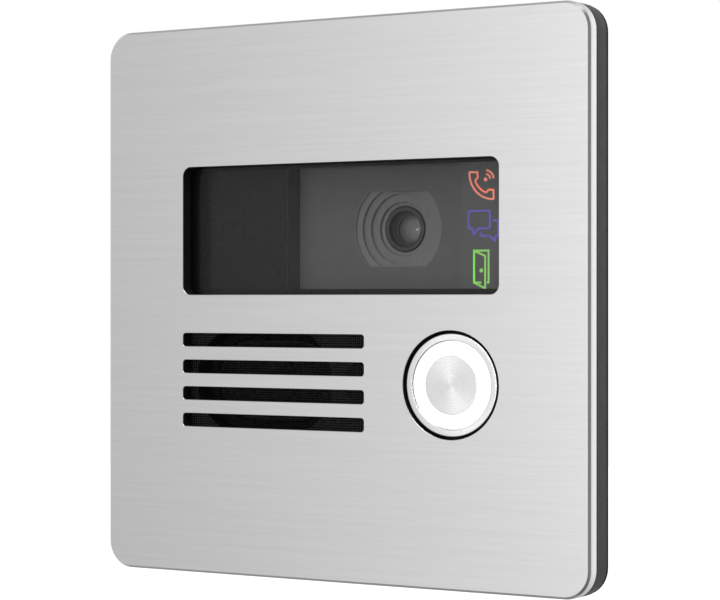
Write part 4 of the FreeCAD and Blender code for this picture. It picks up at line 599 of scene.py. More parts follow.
# -------- camera tray and its hood
# One moulding in dark grey polycarbonate, screwed to the housing behind the pane. A stepped funnel
# with a flat top and foot leads back to the lens. Every step has a small eased edge.
def eased_copy(name, node, finish, body, slot, ease, steps=2, sharp=35):
    """A piece with a CAD node's own shape, its hard edges eased by a small radius."""
    piece = stand(name, merged(node), [finish])
    edges = piece.modifiers.new("eased edges", "BEVEL")
    edges.limit_method = "ANGLE"
    edges.angle_limit = math.radians(sharp)
    edges.width = ease
    edges.segments = steps
    edges.use_clamp_overlap = False
    edges.loop_slide = False
    settle(piece)
    join_body(piece, body, slot, node)
    return piece


tray_plastic = moulded(
    "dark grey tray", dark=(0.178, 0.178, 0.181), light=(0.190, 0.190, 0.193), dull=0.52, bright=0.44,
    size=0.08, relief=0.005,
)
# The hood's steps take a glossier and lighter grey than the tray. The gloss is real; the lighter colour is a
# painted highlight on the steps.
hood_painted_sheen = moulded(
    "hood steps with painted sheen", dark=(0.285, 0.285, 0.288), light=(0.310, 0.310, 0.313), dull=0.34, bright=0.26,
    size=0.3, relief=0.002,
)
tray = eased_copy("camera_tray", "camera_bezel", tray_plastic, "panel", "dark_bezel", ease=0.12 * mm, steps=3)
tray.data.materials.append(hood_painted_sheen)
hood_radius = 10.75 * mm
tray_depth = 4.55 * mm
on_the_floor = 0.2 * mm
barrel_low, barrel_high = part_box("lens_barrel")
lens_axis = (barrel_low + barrel_high) / 2
tray_floor = pane_high.y + tray_depth
in_hood = {
    vert.index for vert in tray.data.vertices
    if (vert.co.xz - lens_axis.xz).length < hood_radius and vert.co.y > tray_floor - on_the_floor
}
# Faces inside the hood take the painted-highlight finish.
for face in tray.data.polygons:
    face.material_index = 1 if in_hood.issuperset(face.vertices) else 0


# -------- infrared lamp cover
# A near-black acrylic block that passes infrared light, behind the left third of the pane. Six
# diodes shine through it from the board at its back. Its side towards the lens is coloured a lighter
# grey: painted light on that shaded side.
lamp_acrylic = moulded(
    "infrared acrylic", dark=(0.022, 0.021, 0.022), light=(0.026, 0.024, 0.026), dull=0.35, bright=0.25,
    size=0.3, relief=0.002, Specular_IOR_Level=0.3,
)
lamp_cover = eased_copy(
    "lamp_cover", "ir_filter_block", lamp_acrylic, "panel", "ir_filter", ease=0.25 * mm, steps=3,
)
# The lighter grey on the side facing the lens is painted light, lifting that side out of its shade.
lens_side_painted_light = moulded(
    "grey painted light on lamp cover side", dark=(0.105, 0.105, 0.107), light=(0.125, 0.125, 0.127), dull=0.6, bright=0.5,
)
lamp_cover.data.materials.append(lens_side_painted_light)
facing_lens = 0.9
for face in lamp_cover.data.polygons:
    face.material_index = 1 if face.normal.x > facing_lens else 0


# -------- screws
# Stainless screws with a low domed head, a hexagon socket and a rolled thread. Each group has the
# size that its own CAD solids have, and each screw stopped at its own turn when it was driven.
def screw_tree():
    sizes = {"Head Radius": "Float", "Head Height": "Float", "Shank Radius": "Float", "Shank Length": "Float",
             "Socket Radius": "Float", "Ridges": "Int", "Direction": "Vector", "Seed": "Int"}
    tree, given = geometry_tree("screws", sizes)
    share = put(tree, "GeometryNodeSplineParameter").outputs["Factor"]
    line = put(tree, "GeometryNodeCurvePrimitiveLine", {"Start": (0.0, 0.0, 0.0), "End": (0.0, 0.0, 1.0)})
    around = put(tree, "GeometryNodeCurvePrimitiveCircle", {"Resolution": 28, "Radius": 1.0}).outputs[0]

    def turned_along(count, height, radius):
        stations = put(tree, "GeometryNodeResampleCurve", {"Curve": line.outputs[0], "Count": count})
        upward = put(tree, "ShaderNodeCombineXYZ", {"Z": height}).outputs[0]
        placed = put(tree, "GeometryNodeSetPosition", {"Geometry": stations.outputs[0], "Position": upward})
        swept = {"Curve": placed.outputs[0], "Profile Curve": around, "Scale": radius, "Fill Caps": True}
        return put(tree, "GeometryNodeCurveToMesh", swept).outputs[0]

    times = partial(sum_of, tree, "MULTIPLY")
    quarter = times(share, 1.4)
    dome_height = times(sum_of(tree, "SINE", quarter), given["Head Height"])
    flank = sum_of(tree, "POWER", sum_of(tree, "COSINE", quarter), 0.4)
    head = turned_along(8, dome_height, times(flank, given["Head Radius"]))

    reach = sum_of(tree, "ADD", given["Shank Length"], times(given["Head Height"], 0.3))
    shank_height = sum_of(tree, "SUBTRACT", times(share, reach), given["Shank Length"])
    odd = sum_of(tree, "MODULO", put(tree, "GeometryNodeInputIndex").outputs[0], 2.0)
    groove = sum_of(tree, "SUBTRACT", 1.0, times(odd, 0.16))
    shank = turned_along(given["Ridges"], shank_height, times(groove, given["Shank Radius"]))

    whole = put(tree, "GeometryNodeMeshBoolean", {1: head}, operation="UNION", solver="EXACT")
    tree.links.new(shank, whole.inputs[1])
    hexagon = {"Vertices": 6, "Radius": given["Socket Radius"], "Depth": given["Head Height"]}
    key = put(tree, "GeometryNodeMeshCylinder", hexagon).outputs[0]
    raised = put(tree, "ShaderNodeCombineXYZ", {"Z": given["Head Height"]}).outputs[0]
    key_above = put(tree, "GeometryNodeTransform", {"Geometry": key, "Translation": raised})
    screw = put(tree, "GeometryNodeMeshBoolean", {0: whole.outputs[0], 1: key_above.outputs[0]},
                operation="DIFFERENCE", solver="EXACT")

    aimed = put(tree, "FunctionNodeAlignRotationToVector", {"Vector": given["Direction"]})
    stops = {2: 0.0, 3: math.tau, "Seed": given["Seed"]}
    stop = put(tree, "FunctionNodeRandomValue", stops, data_type="FLOAT")
    twist = put(tree, "FunctionNodeAxisAngleToRotation", {"Axis": (0.0, 0.0, 1.0), "Angle": stop.outputs[1]})
    driven = put(tree, "FunctionNodeRotateRotation", {0: aimed.outputs[0], 1: twist.outputs[0]},
                 rotation_space="LOCAL")
    placed = put(tree, "GeometryNodeInstanceOnPoints",
                 {"Points": given["Places"], "Instance": screw.outputs[0], "Rotation": driven.outputs[0]})
    return finish_tree(tree, given, placed.outputs[0])


machine_screws = screw_tree()
small_head_height, cover_head_height, lock_head_height = 0.6 * mm, 1.6 * mm, 1.5 * mm
small_shank_radius, large_shank_radius = 0.95 * mm, 1.2 * mm
small_socket_radius, cover_socket_radius, lock_socket_radius = 0.6 * mm, 0.9 * mm, 0.75 * mm
thread_pitch = 0.5 * mm


def drive_screws(node, direction, head_height, shank_radius, socket_radius, seed):
    """Replaces a CAD node's screws. direction points out of their heads."""
    boxes = solids(node)
    out = Vector(direction)
    middles = [(low + high) / 2 for low, high in boxes]
    low, high = boxes[0]
    length = abs((high - low).dot(out))
    across = min(value for value, along in zip(high - low, out) if not along)
    seats = [middle + out * (length / 2 - head_height) for middle in middles]
    sizes = {
        "Head Radius": across / 2, "Head Height": head_height, "Shank Radius": shank_radius,
        "Shank Length": length - head_height, "Socket Radius": socket_radius,
        "Ridges": 2 * round((length - head_height) / thread_pitch) + 1, "Direction": out, "Seed": seed,
    }
    grown_piece(f"{node}_driven", machine_screws, seats, sizes, fastener_steel,
                "panel", "fastener_steel", node)


inward, outward, downward = (0, 1, 0), (0, -1, 0), (0, 0, -1)
small_screw_groups = [
    ("bezel_screws", inward), ("speaker_screws", inward), ("button_guide_screws", inward),
    ("camera_board_screws", inward), ("main_board_screws", outward),
]
for seed, (node, direction) in enumerate(small_screw_groups):
    drive_screws(node, direction, small_head_height, small_shank_radius, small_socket_radius, seed)
drive_screws("rear_cover_screws", inward, cover_head_height, large_shank_radius, cover_socket_radius, seed=11)
drive_screws("security_screws", downward, lock_head_height, large_shank_radius, lock_socket_radius, seed=12)


# -------- lens
# A dark anodised barrel with a stepped nose, and a domed, coated front element. A second element
# shows through it, further back.
def softened_corners(points, closed=True, steps=4):
    """An outline of (radius, depth, easing) points with every corner rounded by its easing."""
    path = []
    for here, (radius, depth, ease) in enumerate(points):
        corner = Vector((radius, depth))
        before = Vector(points[here - 1][:2])
        after = Vector(points[(here + 1) % len(points)][:2])
        at_end = not closed and here in (0, len(points) - 1)
        if at_end or not ease:
            path.append(tuple(corner))
            continue
        start = corner + (before - corner).normalized() * ease
        end = corner + (after - corner).normalized() * ease
        for step in range(steps + 1):
            share = step / steps
            path.append(tuple(start * (1 - share) ** 2 + corner * 2 * share * (1 - share) + end * share ** 2))
    return path


def turned(path, middle, closed=True, sides=96):
    """A mesh turned about a line along y through middle, from (radius, depth) points.

    Points on the line close it.
    """
    mesh = bmesh.new()
    rings = []
    for radius, depth in path:
        if radius < 0.001 * mm:
            rings.append([mesh.verts.new((middle[0], depth, middle[1]))])
            continue
        angles = [math.tau * side / sides for side in range(sides)]
        rings.append([
            mesh.verts.new((middle[0] + radius * math.cos(a), depth, middle[1] + radius * math.sin(a)))
            for a in angles
        ])
    pairs = list(zip(rings, rings[1:])) + ([(rings[-1], rings[0])] if closed else [])
    for near, far in pairs:
        for side in range(sides):
            after = (side + 1) % sides
            corners = [ring[place % len(ring)] for ring, place in
                       ((near, side), (near, after), (far, after), (far, side))]
            mesh.faces.new(dict.fromkeys(corners))
    bmesh.ops.recalc_face_normals(mesh, faces=mesh.faces)
    return mesh


glass_low, glass_high = solids("lens_glass")[0]
lens_middle = (lens_axis.x, lens_axis.z)
nose_radius, barrel_radius = 4.8 * mm, (barrel_high.x - barrel_low.x) / 2
glass_radius = (glass_high.x - glass_low.x) / 2
shoulder = barrel_low.y + 0.9 * mm
glass_seat = barrel_low.y + 1.6 * mm
chamber_radius, chamber_back = 3.5 * mm, barrel_low.y + 2.6 * mm
bore_radius = 3.2 * mm

anodised = moulded(
    "black anodised metal", dark=(0.085, 0.085, 0.088), light=(0.105, 0.105, 0.108), dull=0.42, bright=0.3,
    size=0.05, relief=0.004, Metallic=0.6,
)
barrel_profile = [
    (glass_radius, barrel_low.y, 0.1 * mm), (nose_radius, barrel_low.y, 0.15 * mm),
    (nose_radius, shoulder, 0.0), (barrel_radius, shoulder, 0.15 * mm),
    (barrel_radius, barrel_high.y, 0.15 * mm), (bore_radius, barrel_high.y, 0.1 * mm),
    (bore_radius, chamber_back, 0.0), (chamber_radius, chamber_back, 0.0),
    (chamber_radius, glass_seat, 0.05 * mm), (glass_radius, glass_seat, 0.0),
]
fit("lens_tube", turned(softened_corners(barrel_profile), lens_middle), anodised, "panel", "black_metal",
    "lens_barrel")

coated_glass = moulded(
    "coated lens glass", dark=(0.050, 0.052, 0.062), light=(0.058, 0.058, 0.070), dull=0.03, bright=0.02,
    size=3.0, relief=0.0002, Alpha=0.2, IOR=1.9, Coat_Weight=0.6, Coat_Roughness=0.02,
)
front_thick = 1.5 * mm
deep_radius, deep_rise, deep_thick = 3.15 * mm, 0.7 * mm, 0.5 * mm
deep_base = barrel_low.y + 3.4 * mm
dome_steps = 10


def lens_element(radius, base, rise, thick):
    """A lens element about the lens's axis, domed in front and flat at the back."""
    angles = [math.pi / 2 * step / dome_steps for step in range(dome_steps + 1)]
    dome = [(radius * math.sin(angle), base - rise * math.cos(angle)) for angle in angles]
    return turned(dome + [(radius, base + thick), (0.0, base + thick)], lens_middle, closed=False)


front_rise = barrel_low.y - glass_low.y
front_element = lens_element(glass_radius - 0.05 * mm, barrel_low.y, front_rise, front_thick)
fit("lens_front", front_element, coated_glass, "panel", "lens_glass", "lens_glass")
# The second element's pale grey base colour is painted reflection, standing in for light the glass reflects.
# Its coat's own reflections are real.
deep_glass_painted_reflection = moulded(
    "deep lens glass with painted reflection", dark=(0.44, 0.44, 0.47), light=(0.48, 0.48, 0.51), dull=0.4, bright=0.32,
    size=3.0, relief=0.0002, IOR=2.5, Coat_Weight=1.0, Coat_IOR=1.9, Coat_Roughness=0.16,
)
deep_element = lens_element(deep_radius, deep_base, deep_rise, deep_thick)
fit("lens_rear", deep_element, deep_glass_painted_reflection, "panel", "lens_glass")
eased_copy("lens_mount", "lens_holder", anodised, "panel", "black_metal", ease=0.1 * mm)


# -------- status signs
# A smoked film over a white light box, with three signs left clear: a handset, speech bubbles and
# an open door. Diodes behind each chamber light them in their own colour.
film_low, film_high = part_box("status_sign_film")
film_front = film_low.y + 0.05 * mm
stroke_front = film_low.y + 0.01 * mm
film_corner = 0.8 * mm
sign_across = 33.1 * mm
sign_pitch = 8.7 * mm
sign_rows = {"handset": 1, "bubbles": 0, "door": -1}
stroke_width = 0.42 * mm


def arc(middle, radius, start, end, steps=12):
    """Points on an arc, in mm and degrees."""
    angles = [math.radians(start + (end - start) * step / steps) for step in range(steps + 1)]
    return [(middle[0] + radius * math.cos(a), middle[1] + radius * math.sin(a)) for a in angles]


def round_corners(points, corner, steps=4):
    """A closed outline with every corner rounded by the same amount."""
    return softened_corners([(across, up, corner) for across, up in points], steps=steps)


def stroke(mesh, points, width, closed):
    """Adds a thin flat ribbon along points, given in mm from the sign's middle."""
    count = len(points)
    sides = []
    for here, point in enumerate(points):
        middle = Vector(point)
        before = Vector(points[here - 1]) if closed or here else middle
        after = Vector(points[(here + 1) % count]) if closed or here < count - 1 else middle
        first = (middle - before).normalized() if middle != before else (after - middle).normalized()
        second = (after - middle).normalized() if after != middle else first
        along = (first + second).normalized()
        across = Vector((-along.y, along.x)) * (width / 2 / max(0.5, along.dot(second)))
        sides.append((middle + across, middle - across))
    rings = []
    for left, right in sides:
        corners = ((left, 0.0), (right, 0.0), (right, 1.0), (left, 1.0))
        rings.append([mesh.verts.new((spot.x, depth, spot.y)) for spot, depth in corners])
    for here in range(count if closed else count - 1):
        near, far = rings[here], rings[(here + 1) % count]
        for side in range(4):
            after = (side + 1) % 4
            mesh.faces.new((near[side], near[after], far[after], far[side]))
    if not closed:
        mesh.faces.new(rings[0][::-1])
        mesh.faces.new(rings[-1])


def handset_strokes():
    middle = (2.1, 2.4)
    body = arc(middle, 5.5, 178, 272) + arc(middle, 3.6, 272, 256, 4) + arc(middle, 4.45, 249, 201)
    body += arc(middle, 3.6, 194, 178, 4)
    start = (0.4, 1.0)
    return [(round_corners(body, 0.22), True), (arc(start, 0.22, 0, 330, 8), True),
            (arc(start, 1.1, 5, 85, 6), False), (arc(start, 1.9, 5, 85, 8), False)]


def bubble_strokes():
    first = [(-3.6, 3.2), (1.4, 3.2), (1.4, -0.4), (-1.3, -0.4), (-2.5, -1.9), (-2.5, -0.4), (-3.6, -0.4)]
    second = [(2.1, 1.2), (3.4, 1.2), (3.4, -2.0), (2.7, -2.0), (2.7, -3.2), (1.5, -2.0),
              (-0.7, -2.0), (-0.7, -1.1)]
    behind = softened_corners([(*point, 0.4) for point in second], closed=False)
    return [(round_corners(first, 0.45), True), (behind, False)]


def door_strokes():
    frame_line = [(-0.6, -2.9), (-2.3, -2.9), (-2.3, 3.7), (1.1, 3.7), (1.1, -2.9), (0.7, -2.9)]
    leaf = [(-2.3, 3.7), (0.3, 2.6), (0.3, -4.1), (-2.3, -2.9)]
    return [(frame_line, False), (leaf, True), (arc((-0.6, -0.4), 0.22, 0, 330, 8), True)]


def lit(name, colour, strength):
    """Clear film with a light behind it: one colour under a soft darker tone, and a steady glow."""
    dark = [value * 0.5 for value in colour]
    finish = moulded(name, dark, colour, dull=0.4, bright=0.35, size=0.5)
    shader = finish.node_tree.nodes["Principled BSDF"]
    shader.inputs["Emission Color"].default_value = (*colour, 1.0)
    shader.inputs["Emission Strength"].default_value = strength
    return finish


smoked_film = moulded(
    "smoked sign film", dark=(0.165, 0.165, 0.168), light=(0.178, 0.178, 0.181), dull=0.5, bright=0.42,
    size=1.0, relief=0.0005,
)
film_outline = round_box(
    film_high.x - film_low.x, film_high.z - film_low.z, film_corner, middle_of(film_low, film_high), steps=4,
)
film_edge = [(0.0, film_front), (0.0, film_high.y)]
fit("sign_film", sheet(film_outline, [], film_edge), smoked_film, "panel", "sign_film", "status_sign_film")
signs = {
    "handset": (handset_strokes(), (0.95, 0.30, 0.20), 0.75),
    "bubbles": (bubble_strokes(), (0.16, 0.14, 0.62), 0.6),
    "door": (door_strokes(), (0.32, 0.72, 0.16), 0.75),
}
for name, (strokes, colour, strength) in signs.items():
    level = window_rise + sign_pitch * sign_rows[name]
    sign_mesh = bmesh.new()
    for points, closed in strokes:
        stroke(sign_mesh, points, stroke_width / mm, closed)
    for vert in sign_mesh.verts:
        depth = film_front if vert.co.y else stroke_front
        vert.co = Vector((sign_across + vert.co.x * mm, depth, level + vert.co.z * mm))
    bmesh.ops.recalc_face_normals(sign_mesh, faces=sign_mesh.faces)
    fit(f"sign_{name}", sign_mesh, lit(f"lit {name} sign", colour, strength), "panel", "sign_film")


# -------- acoustic mesh behind the slots
# Plain-woven black polyester that keeps water out of the loudspeaker. The threads of each set go
# over and under the other set by turns.
weave_pitch = 0.5 * mm
thread_radius = 0.085 * mm


def weave_tree():
    sizes = {"Width": "Float", "Height": "Float", "Pitch": "Float", "Thread Radius": "Float"}
    tree, given = geometry_tree("woven mesh", sizes)
    times = partial(sum_of, tree, "MULTIPLY")
    place = put(tree, "ShaderNodeSeparateXYZ", {0: put(tree, "GeometryNodeInputPosition").outputs[0]}).outputs
    odd = sum_of(tree, "MODULO", put(tree, "GeometryNodeInputIndex").outputs[0], 2.0)
    flip = times(odd, math.pi)
    profile = {"Resolution": 4, "Radius": given["Thread Radius"]}
    round_thread = put(tree, "GeometryNodeCurvePrimitiveCircle", profile).outputs[0]

    def vector(way, length):
        return put(tree, "ShaderNodeCombineXYZ", {way: length}).outputs[0]

    def line(length, way):
        half = times(length, 0.5)
        ends = {"Start": vector(way, times(half, -1.0)), "End": vector(way, half)}
        return put(tree, "GeometryNodeCurvePrimitiveLine", ends).outputs[0]

    cloth = put(tree, "GeometryNodeJoinGeometry")
    sets = (("Width", "Height", "X", "Z", 0.0), ("Height", "Width", "Z", "X", math.pi))
    for along, across, way, other, phase in sets:
        crossings = sum_of(tree, "DIVIDE", given[along], given["Pitch"])
        count = sum_of(tree, "ADD", times(crossings, 2.0), 1.0)
        stations = put(tree, "GeometryNodeResampleCurve", {"Curve": line(given[along], way), "Count": count})
        distance = sum_of(tree, "DIVIDE", place[way], given["Pitch"])
        angle = sum_of(tree, "MULTIPLY_ADD", distance, math.pi, phase)
        wave = times(sum_of(tree, "COSINE", angle), times(given["Thread Radius"], 0.8))
        moved = {"Geometry": stations.outputs[0], "Offset": vector("Y", wave)}
        waved = put(tree, "GeometryNodeSetPosition", moved)
        swept = {"Curve": waved.outputs[0], "Profile Curve": round_thread, "Fill Caps": True}
        thread = put(tree, "GeometryNodeCurveToMesh", swept).outputs[0]
        threads = sum_of(tree, "DIVIDE", given[across], given["Pitch"])
        rows = put(tree, "GeometryNodeCurveToPoints", {"Curve": line(given[across], other), "Count": threads})
        laid = {"Points": rows.outputs[0], "Instance": thread, "Rotation": vector(way, flip)}
        tree.links.new(put(tree, "GeometryNodeInstanceOnPoints", laid).outputs[0], cloth.inputs[0])
    real = put(tree, "GeometryNodeRealizeInstances", {0: cloth.outputs[0]})
    placed = put(tree, "GeometryNodeInstanceOnPoints",
                 {"Points": given["Places"], "Instance": real.outputs[0]})
    return finish_tree(tree, given, placed.outputs[0])


black_thread = moulded(
    "black polyester thread", dark=(0.003, 0.003, 0.003), light=(0.005, 0.005, 0.005), dull=0.8, bright=0.7,
    size=0.03, relief=0.003, Specular_IOR_Level=0.1,
)
mesh_low, mesh_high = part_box("speaker_mesh")
grown_piece(
    "woven_mesh", weave_tree(), [(mesh_low + mesh_high) / 2],
    {"Width": mesh_high.x - mesh_low.x, "Height": mesh_high.z - mesh_low.z, "Pitch": weave_pitch,
     "Thread Radius": thread_radius},
    black_thread, "panel", "acoustic_mesh", "speaker_mesh",
)


# -------- loudspeaker and microphone
# A small full-range unit: glass-filled basket, plated magnet, moulded cone in a rubber surround,
# on a foam gasket behind the housing's front wall. The microphone sits in a rubber boot beside it.
basket_plastic = moulded(
    "black basket moulding", dark=(0.018, 0.018, 0.019), light=(0.030, 0.030, 0.031), dull=0.6, bright=0.48,
    size=0.15, relief=0.015,
)
plated_magnet = moulded(
    "plated magnet", dark=(0.26, 0.26, 0.27), light=(0.34, 0.34, 0.35), dull=0.45, bright=0.32,
    size=0.1, relief=0.005, Metallic=1.0,
)
cone_plastic = moulded(
    "dark cone", dark=(0.020, 0.020, 0.022), light=(0.030, 0.030, 0.032), dull=0.55, bright=0.45,
    size=0.1, relief=0.006,
)
eased_copy("speaker_basket", "speaker_frame", basket_plastic, "panel", "speaker_basket", ease=0.15 * mm)
eased_copy("speaker_magnet_cup", "speaker_magnet", plated_magnet, "panel", "magnet", ease=0.15 * mm)
eased_copy("speaker_diaphragm", "speaker_cone", cone_plastic, "speaker_cone", "cone", ease=0.08 * mm)
eased_copy("microphone_capsule", "microphone", plated_magnet, "panel", "magnet", ease=0.15 * mm)
eased_copy("microphone_sleeve", "microphone_boot", seal_rubber, "panel", "black_rubber", ease=0.12 * mm)


# -------- call button
# A turned steel ring and disc with a glowing opal ring between them, on a black carrier that slides
# straight in. The ring's inner edge is chamfered towards the light; the disc is faced on a lathe.
ring_front, ring_back = ring_low.y, ring_high.y
light_low, light_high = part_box("button_light_ring")
disc_low, disc_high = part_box("button_disc")
light_radius = (light_high.x - light_low.x) / 2
disc_radius = (disc_high.x - disc_low.x) / 2
inner_chamfer = 0.3 * mm
light_slope = 0.2 * mm

turned_steel = brushed(
    "turned button steel", dark=(0.78, 0.78, 0.775), light=(0.86, 0.86, 0.855), dull=0.32, bright=0.24,
    stretch=(60.0, 60.0, 60.0), grain=0.45, rotation=0.0, radial="Y",
)


def face_on_lathe(finish, middle):
    """Turns a brushed finish's lines into rings about the button's middle."""
    tree = finish.node_tree
    lines = next(node for node in tree.nodes if node.type == "GROUP")
    place = put(tree, "ShaderNodeTexCoord").outputs["Object"]
    offset = {0: place, 1: (middle[0], 0.0, middle[1])}
    centred = put(tree, "ShaderNodeVectorMath", offset, operation="SUBTRACT")
    axes = put(tree, "ShaderNodeSeparateXYZ", {0: centred.outputs[0]}).outputs
    flat = put(tree, "ShaderNodeCombineXYZ", {"X": axes["X"], "Z": axes["Z"]})
    radius = put(tree, "ShaderNodeVectorMath", {0: flat.outputs[0]}, operation="LENGTH").outputs["Value"]
    rings = put(tree, "ShaderNodeCombineXYZ", {"X": radius, "Y": axes["Y"]})
    tree.links.new(rings.outputs[0], lines.inputs["Vector"])
    lines.inputs["Stretch"].default_value = (9000.0, 2000.0, 1.0)


face_on_lathe(turned_steel, button_middle)
ring_profile = [
    (light_radius, ring_front + inner_chamfer, 0.05 * mm),
    (light_radius + inner_chamfer, ring_front, 0.08 * mm), (button_radius, ring_front, 0.3 * mm),
    (button_radius, ring_back, 0.15 * mm), (light_radius, ring_back, 0.1 * mm),
]
fit("button_ring", turned(softened_corners(ring_profile), button_middle, sides=128), turned_steel,
    "call_button", "button_steel", "button_bezel_ring")

opal = moulded(
    "lit opal ring", dark=(0.88, 0.88, 0.87), light=(0.93, 0.93, 0.92), dull=0.4, bright=0.3, size=0.5,
    relief=0.003, Subsurface_Weight=0.15,
)
opal_shader = opal.node_tree.nodes["Principled BSDF"]
opal_shader.inputs["Emission Color"].default_value = (1.0, 1.0, 1.0, 1.0)
opal_shader.inputs["Emission Strength"].default_value = 0.75
light_profile = [
    (disc_radius, light_low.y, 0.1 * mm), (light_radius, light_low.y + light_slope, 0.02 * mm),
    (light_radius, light_high.y, 0.1 * mm), (disc_radius, light_high.y, 0.1 * mm),
]
fit("button_glow", turned(softened_corners(light_profile), button_middle, sides=128), opal, "call_button",
    "light_guide", "button_light_ring")

cap_profile = [
    (0.0, disc_low.y, 0.0), (disc_radius, disc_low.y, 0.2 * mm), (disc_radius, disc_high.y, 0.1 * mm),
    (0.0, disc_high.y, 0.0),
]
cap_path = softened_corners(cap_profile, closed=False)
fit("button_cap", turned(cap_path, button_middle, closed=False, sides=128), turned_steel, "call_button",
    "button_steel", "button_disc")

carrier_plastic = moulded(
    "black button moulding", dark=(0.020, 0.020, 0.021), light=(0.028, 0.028, 0.030), dull=0.5, bright=0.4,
    size=0.1, relief=0.008,
)
white_moulding = moulded(
    "white moulding", dark=(0.78, 0.78, 0.76), light=(0.84, 0.84, 0.82), dull=0.5, bright=0.4,
)
grey_moulding = moulded(
    "grey moulding", dark=(0.50, 0.50, 0.50), light=(0.58, 0.58, 0.58), dull=0.5, bright=0.4,
)
eased_copy("button_body", "button_carrier", carrier_plastic, "call_button", "black_housing", ease=0.1 * mm)
eased_copy("button_sleeve", "button_guide", carrier_plastic, "panel", "black_housing", ease=0.12 * mm)
eased_copy("button_gasket", "button_seal", seal_rubber, "panel", "black_rubber", ease=0.08 * mm)
eased_copy("switch_stem", "switch_plunger", grey_moulding, "switch_plunger", "reset_plastic", ease=0.1 * mm)


# -------- housing and rear cover
# Fine-textured black polycarbonate. The housing's rim shows as a dark band behind the faceplate;
# its tub goes into the wall, closed by a gasket and a screwed cover with a connector bay.
textured_black = moulded(
    "textured black housing", dark=(0.021, 0.021, 0.022), light=(0.0235, 0.0235, 0.0245), dull=0.52,
    bright=0.48, size=0.16, relief=0.010, Specular_IOR_Level=0.38,
)
eased_copy("housing_shell", "front_housing", textured_black, "panel", "black_housing", ease=0.15 * mm)
eased_copy("rear_shell", "rear_cover", textured_black, "panel", "black_housing", ease=0.15 * mm)
foam = moulded(
    "black wall foam", dark=(0.010, 0.010, 0.010), light=(0.020, 0.020, 0.020), dull=0.95, bright=0.85,
    size=0.25, relief=0.06, Specular_IOR_Level=0.15,
)
vent_weave = moulded(
    "white breathing membrane", dark=(0.74, 0.74, 0.73), light=(0.82, 0.82, 0.81), dull=0.8, bright=0.7,
    size=0.08, relief=0.02,
)
eased_copy("wall_foam", "wall_seal", foam, "panel", "black_rubber", ease=0.12 * mm)
eased_copy("vent", "pressure_vent", vent_weave, "panel", "vent_membrane", ease=0.15 * mm)


# -------- wall bracket
# Zinc-plated sheet steel, pressed and folded: two hooks at the top, two screw tabs at the bottom,
# four holes for wall screws. The panel hangs on the hooks and is locked from below.
zinc = brushed(
    "zinc-plated sheet", dark=(0.55, 0.56, 0.57), light=(0.60, 0.61, 0.61), dull=0.47, bright=0.42,
    stretch=(140.0, 140.0, 140.0), depth=0.004,
)
eased_copy("bracket_sheet", "wall_bracket", zinc, "panel", "bracket_steel", ease=0.12 * mm)


# -------- network socket, terminals and reset button
# A nickel-plated socket, shown without its sprung contacts, two green terminal blocks for bare wires
# with slotted screws, and a grey reset button. All three stand in the connector bay, mouths down.
nickel = moulded(
    "nickel shield", dark=(0.62, 0.62, 0.62), light=(0.72, 0.72, 0.71), dull=0.3, bright=0.2,
    size=0.3, relief=0.004, Metallic=1.0,
)
terminal_green = moulded(
    "green terminal moulding", dark=(0.028, 0.24, 0.10), light=(0.038, 0.30, 0.13), dull=0.45, bright=0.35,
    size=0.1, relief=0.008,
)
eased_copy("network_shield", "network_socket", nickel, "panel", "socket_metal", ease=0.15 * mm)
eased_copy("terminals", "terminal_blocks", terminal_green, "panel", "terminal_plastic", ease=0.12 * mm)
eased_copy("reset_key", "reset_button", grey_moulding, "reset_button", "reset_plastic", ease=0.1 * mm)


# -------- boards and what stands on them
# Glass laminate under green solder mask, with tinned pads and fine copper tracks. They carry the
# processor under its finned heat sink, the capacitors and coil, the diodes and the camera sensor.
def circuit(name):
    """Green solder mask over copper tracks, which show as a raised, paler pattern."""
    finish = moulded(name, dark=(0.014, 0.12, 0.045), light=(0.020, 0.16, 0.06), dull=0.32, bright=0.24,
                     size=0.4, relief=0.006)
    tree = finish.node_tree
    shader = tree.nodes["Principled BSDF"]
    place = put(tree, "ShaderNodeTexCoord").outputs["Object"]
    layout = {"Vector": place, "Color1": (0, 0, 0, 1), "Color2": (0.2, 0.2, 0.2, 1), "Mortar": (1, 1, 1, 1),
              "Scale": 160.0, "Mortar Size": 0.03, "Brick Width": 0.9, "Row Height": 0.22}
    tracks = put(tree, "ShaderNodeTexBrick", layout)
    under = shader.inputs["Base Color"].links[0].from_socket
    paler = put(tree, "ShaderNodeMix", {0: tracks.outputs["Color"], 6: under, 7: (0.05, 0.26, 0.11, 1.0)},
                data_type="RGBA")
    tree.links.new(paler.outputs[2], shader.inputs["Base Color"])
    return finish


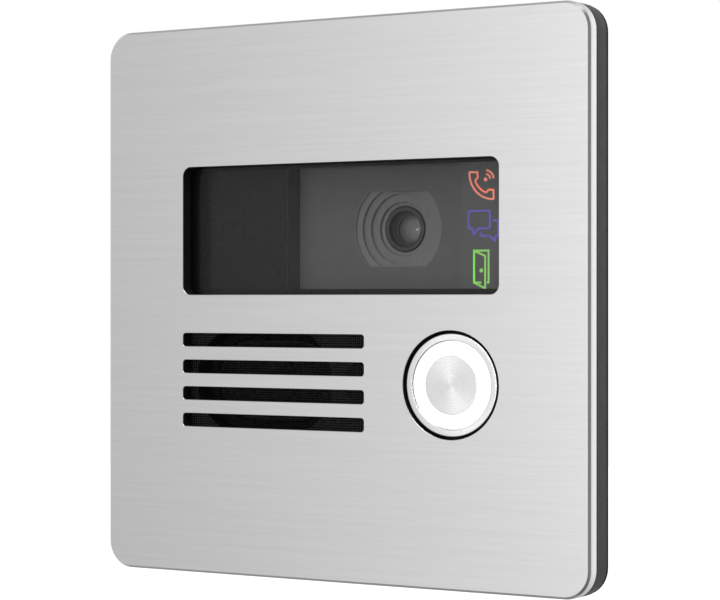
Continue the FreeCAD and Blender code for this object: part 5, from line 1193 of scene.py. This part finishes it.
laminate = circuit("green laminate")
chip_black = moulded(
    "moulded chip", dark=(0.018, 0.018, 0.020), light=(0.026, 0.026, 0.028), dull=0.6, bright=0.5, size=0.06,
    relief=0.006,
)
sink_aluminium = brushed(
    "extruded aluminium", dark=(0.48, 0.49, 0.51), light=(0.60, 0.61, 0.63), dull=0.42, bright=0.32,
    stretch=(900.0, 900.0, 60.0),
)
can_aluminium = moulded(
    "capacitor cans", dark=(0.50, 0.51, 0.53), light=(0.62, 0.63, 0.65), dull=0.35, bright=0.25, size=0.3,
    relief=0.003, Metallic=1.0,
)
diode_resin = moulded(
    "diode resin", dark=(0.84, 0.80, 0.62), light=(0.92, 0.90, 0.78), dull=0.3, bright=0.2, size=0.1,
    relief=0.002,
)
board_parts = [
    (chip_black, "chip", ["processor", "image_sensor", "button_switch", "reset_switch", "board_connector"]),
    (sink_aluminium, "heat_sink", ["heat_sink"]), (can_aluminium, "capacitor", ["board_capacitors"]),
    (white_moulding, "white_plastic", ["status_light_box"]),
    (laminate, "circuit_board",
     ["main_board", "camera_board", "ir_led_board", "status_led_board", "button_led_board"]),
]
for finish, slot, nodes in board_parts:
    for node in nodes:
        eased_copy(f"{node}_eased", node, finish, "panel", slot, ease=0.08 * mm)


# -------- pieces shown as the CAD has them
# Thin seals, diodes and small screws have their true shape already. They take the finish of
# their own kind.
finish_of = {
    "brushed_steel": brushed_plate, "button_steel": turned_steel, "fastener_steel": fastener_steel,
    "bracket_steel": zinc, "black_housing": textured_black, "black_rubber": seal_rubber,
    "tinted_pane": smoked_pane, "dark_bezel": tray_plastic, "ir_filter": lamp_acrylic,
    "lens_glass": coated_glass, "black_metal": anodised, "sign_film": smoked_film, "light_guide": opal,
    "white_plastic": white_moulding, "led": diode_resin, "circuit_board": laminate, "chip": chip_black,
    "heat_sink": sink_aluminium, "acoustic_mesh": black_thread, "speaker_basket": basket_plastic,
    "magnet": plated_magnet, "cone": cone_plastic, "socket_metal": nickel, "terminal_plastic": terminal_green,
    "reset_plastic": grey_moulding, "vent_membrane": vent_weave, "capacitor": can_aluminium,
}
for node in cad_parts.values():
    for place in node.material_slots:
        place.material = finish_of[place.material.name]
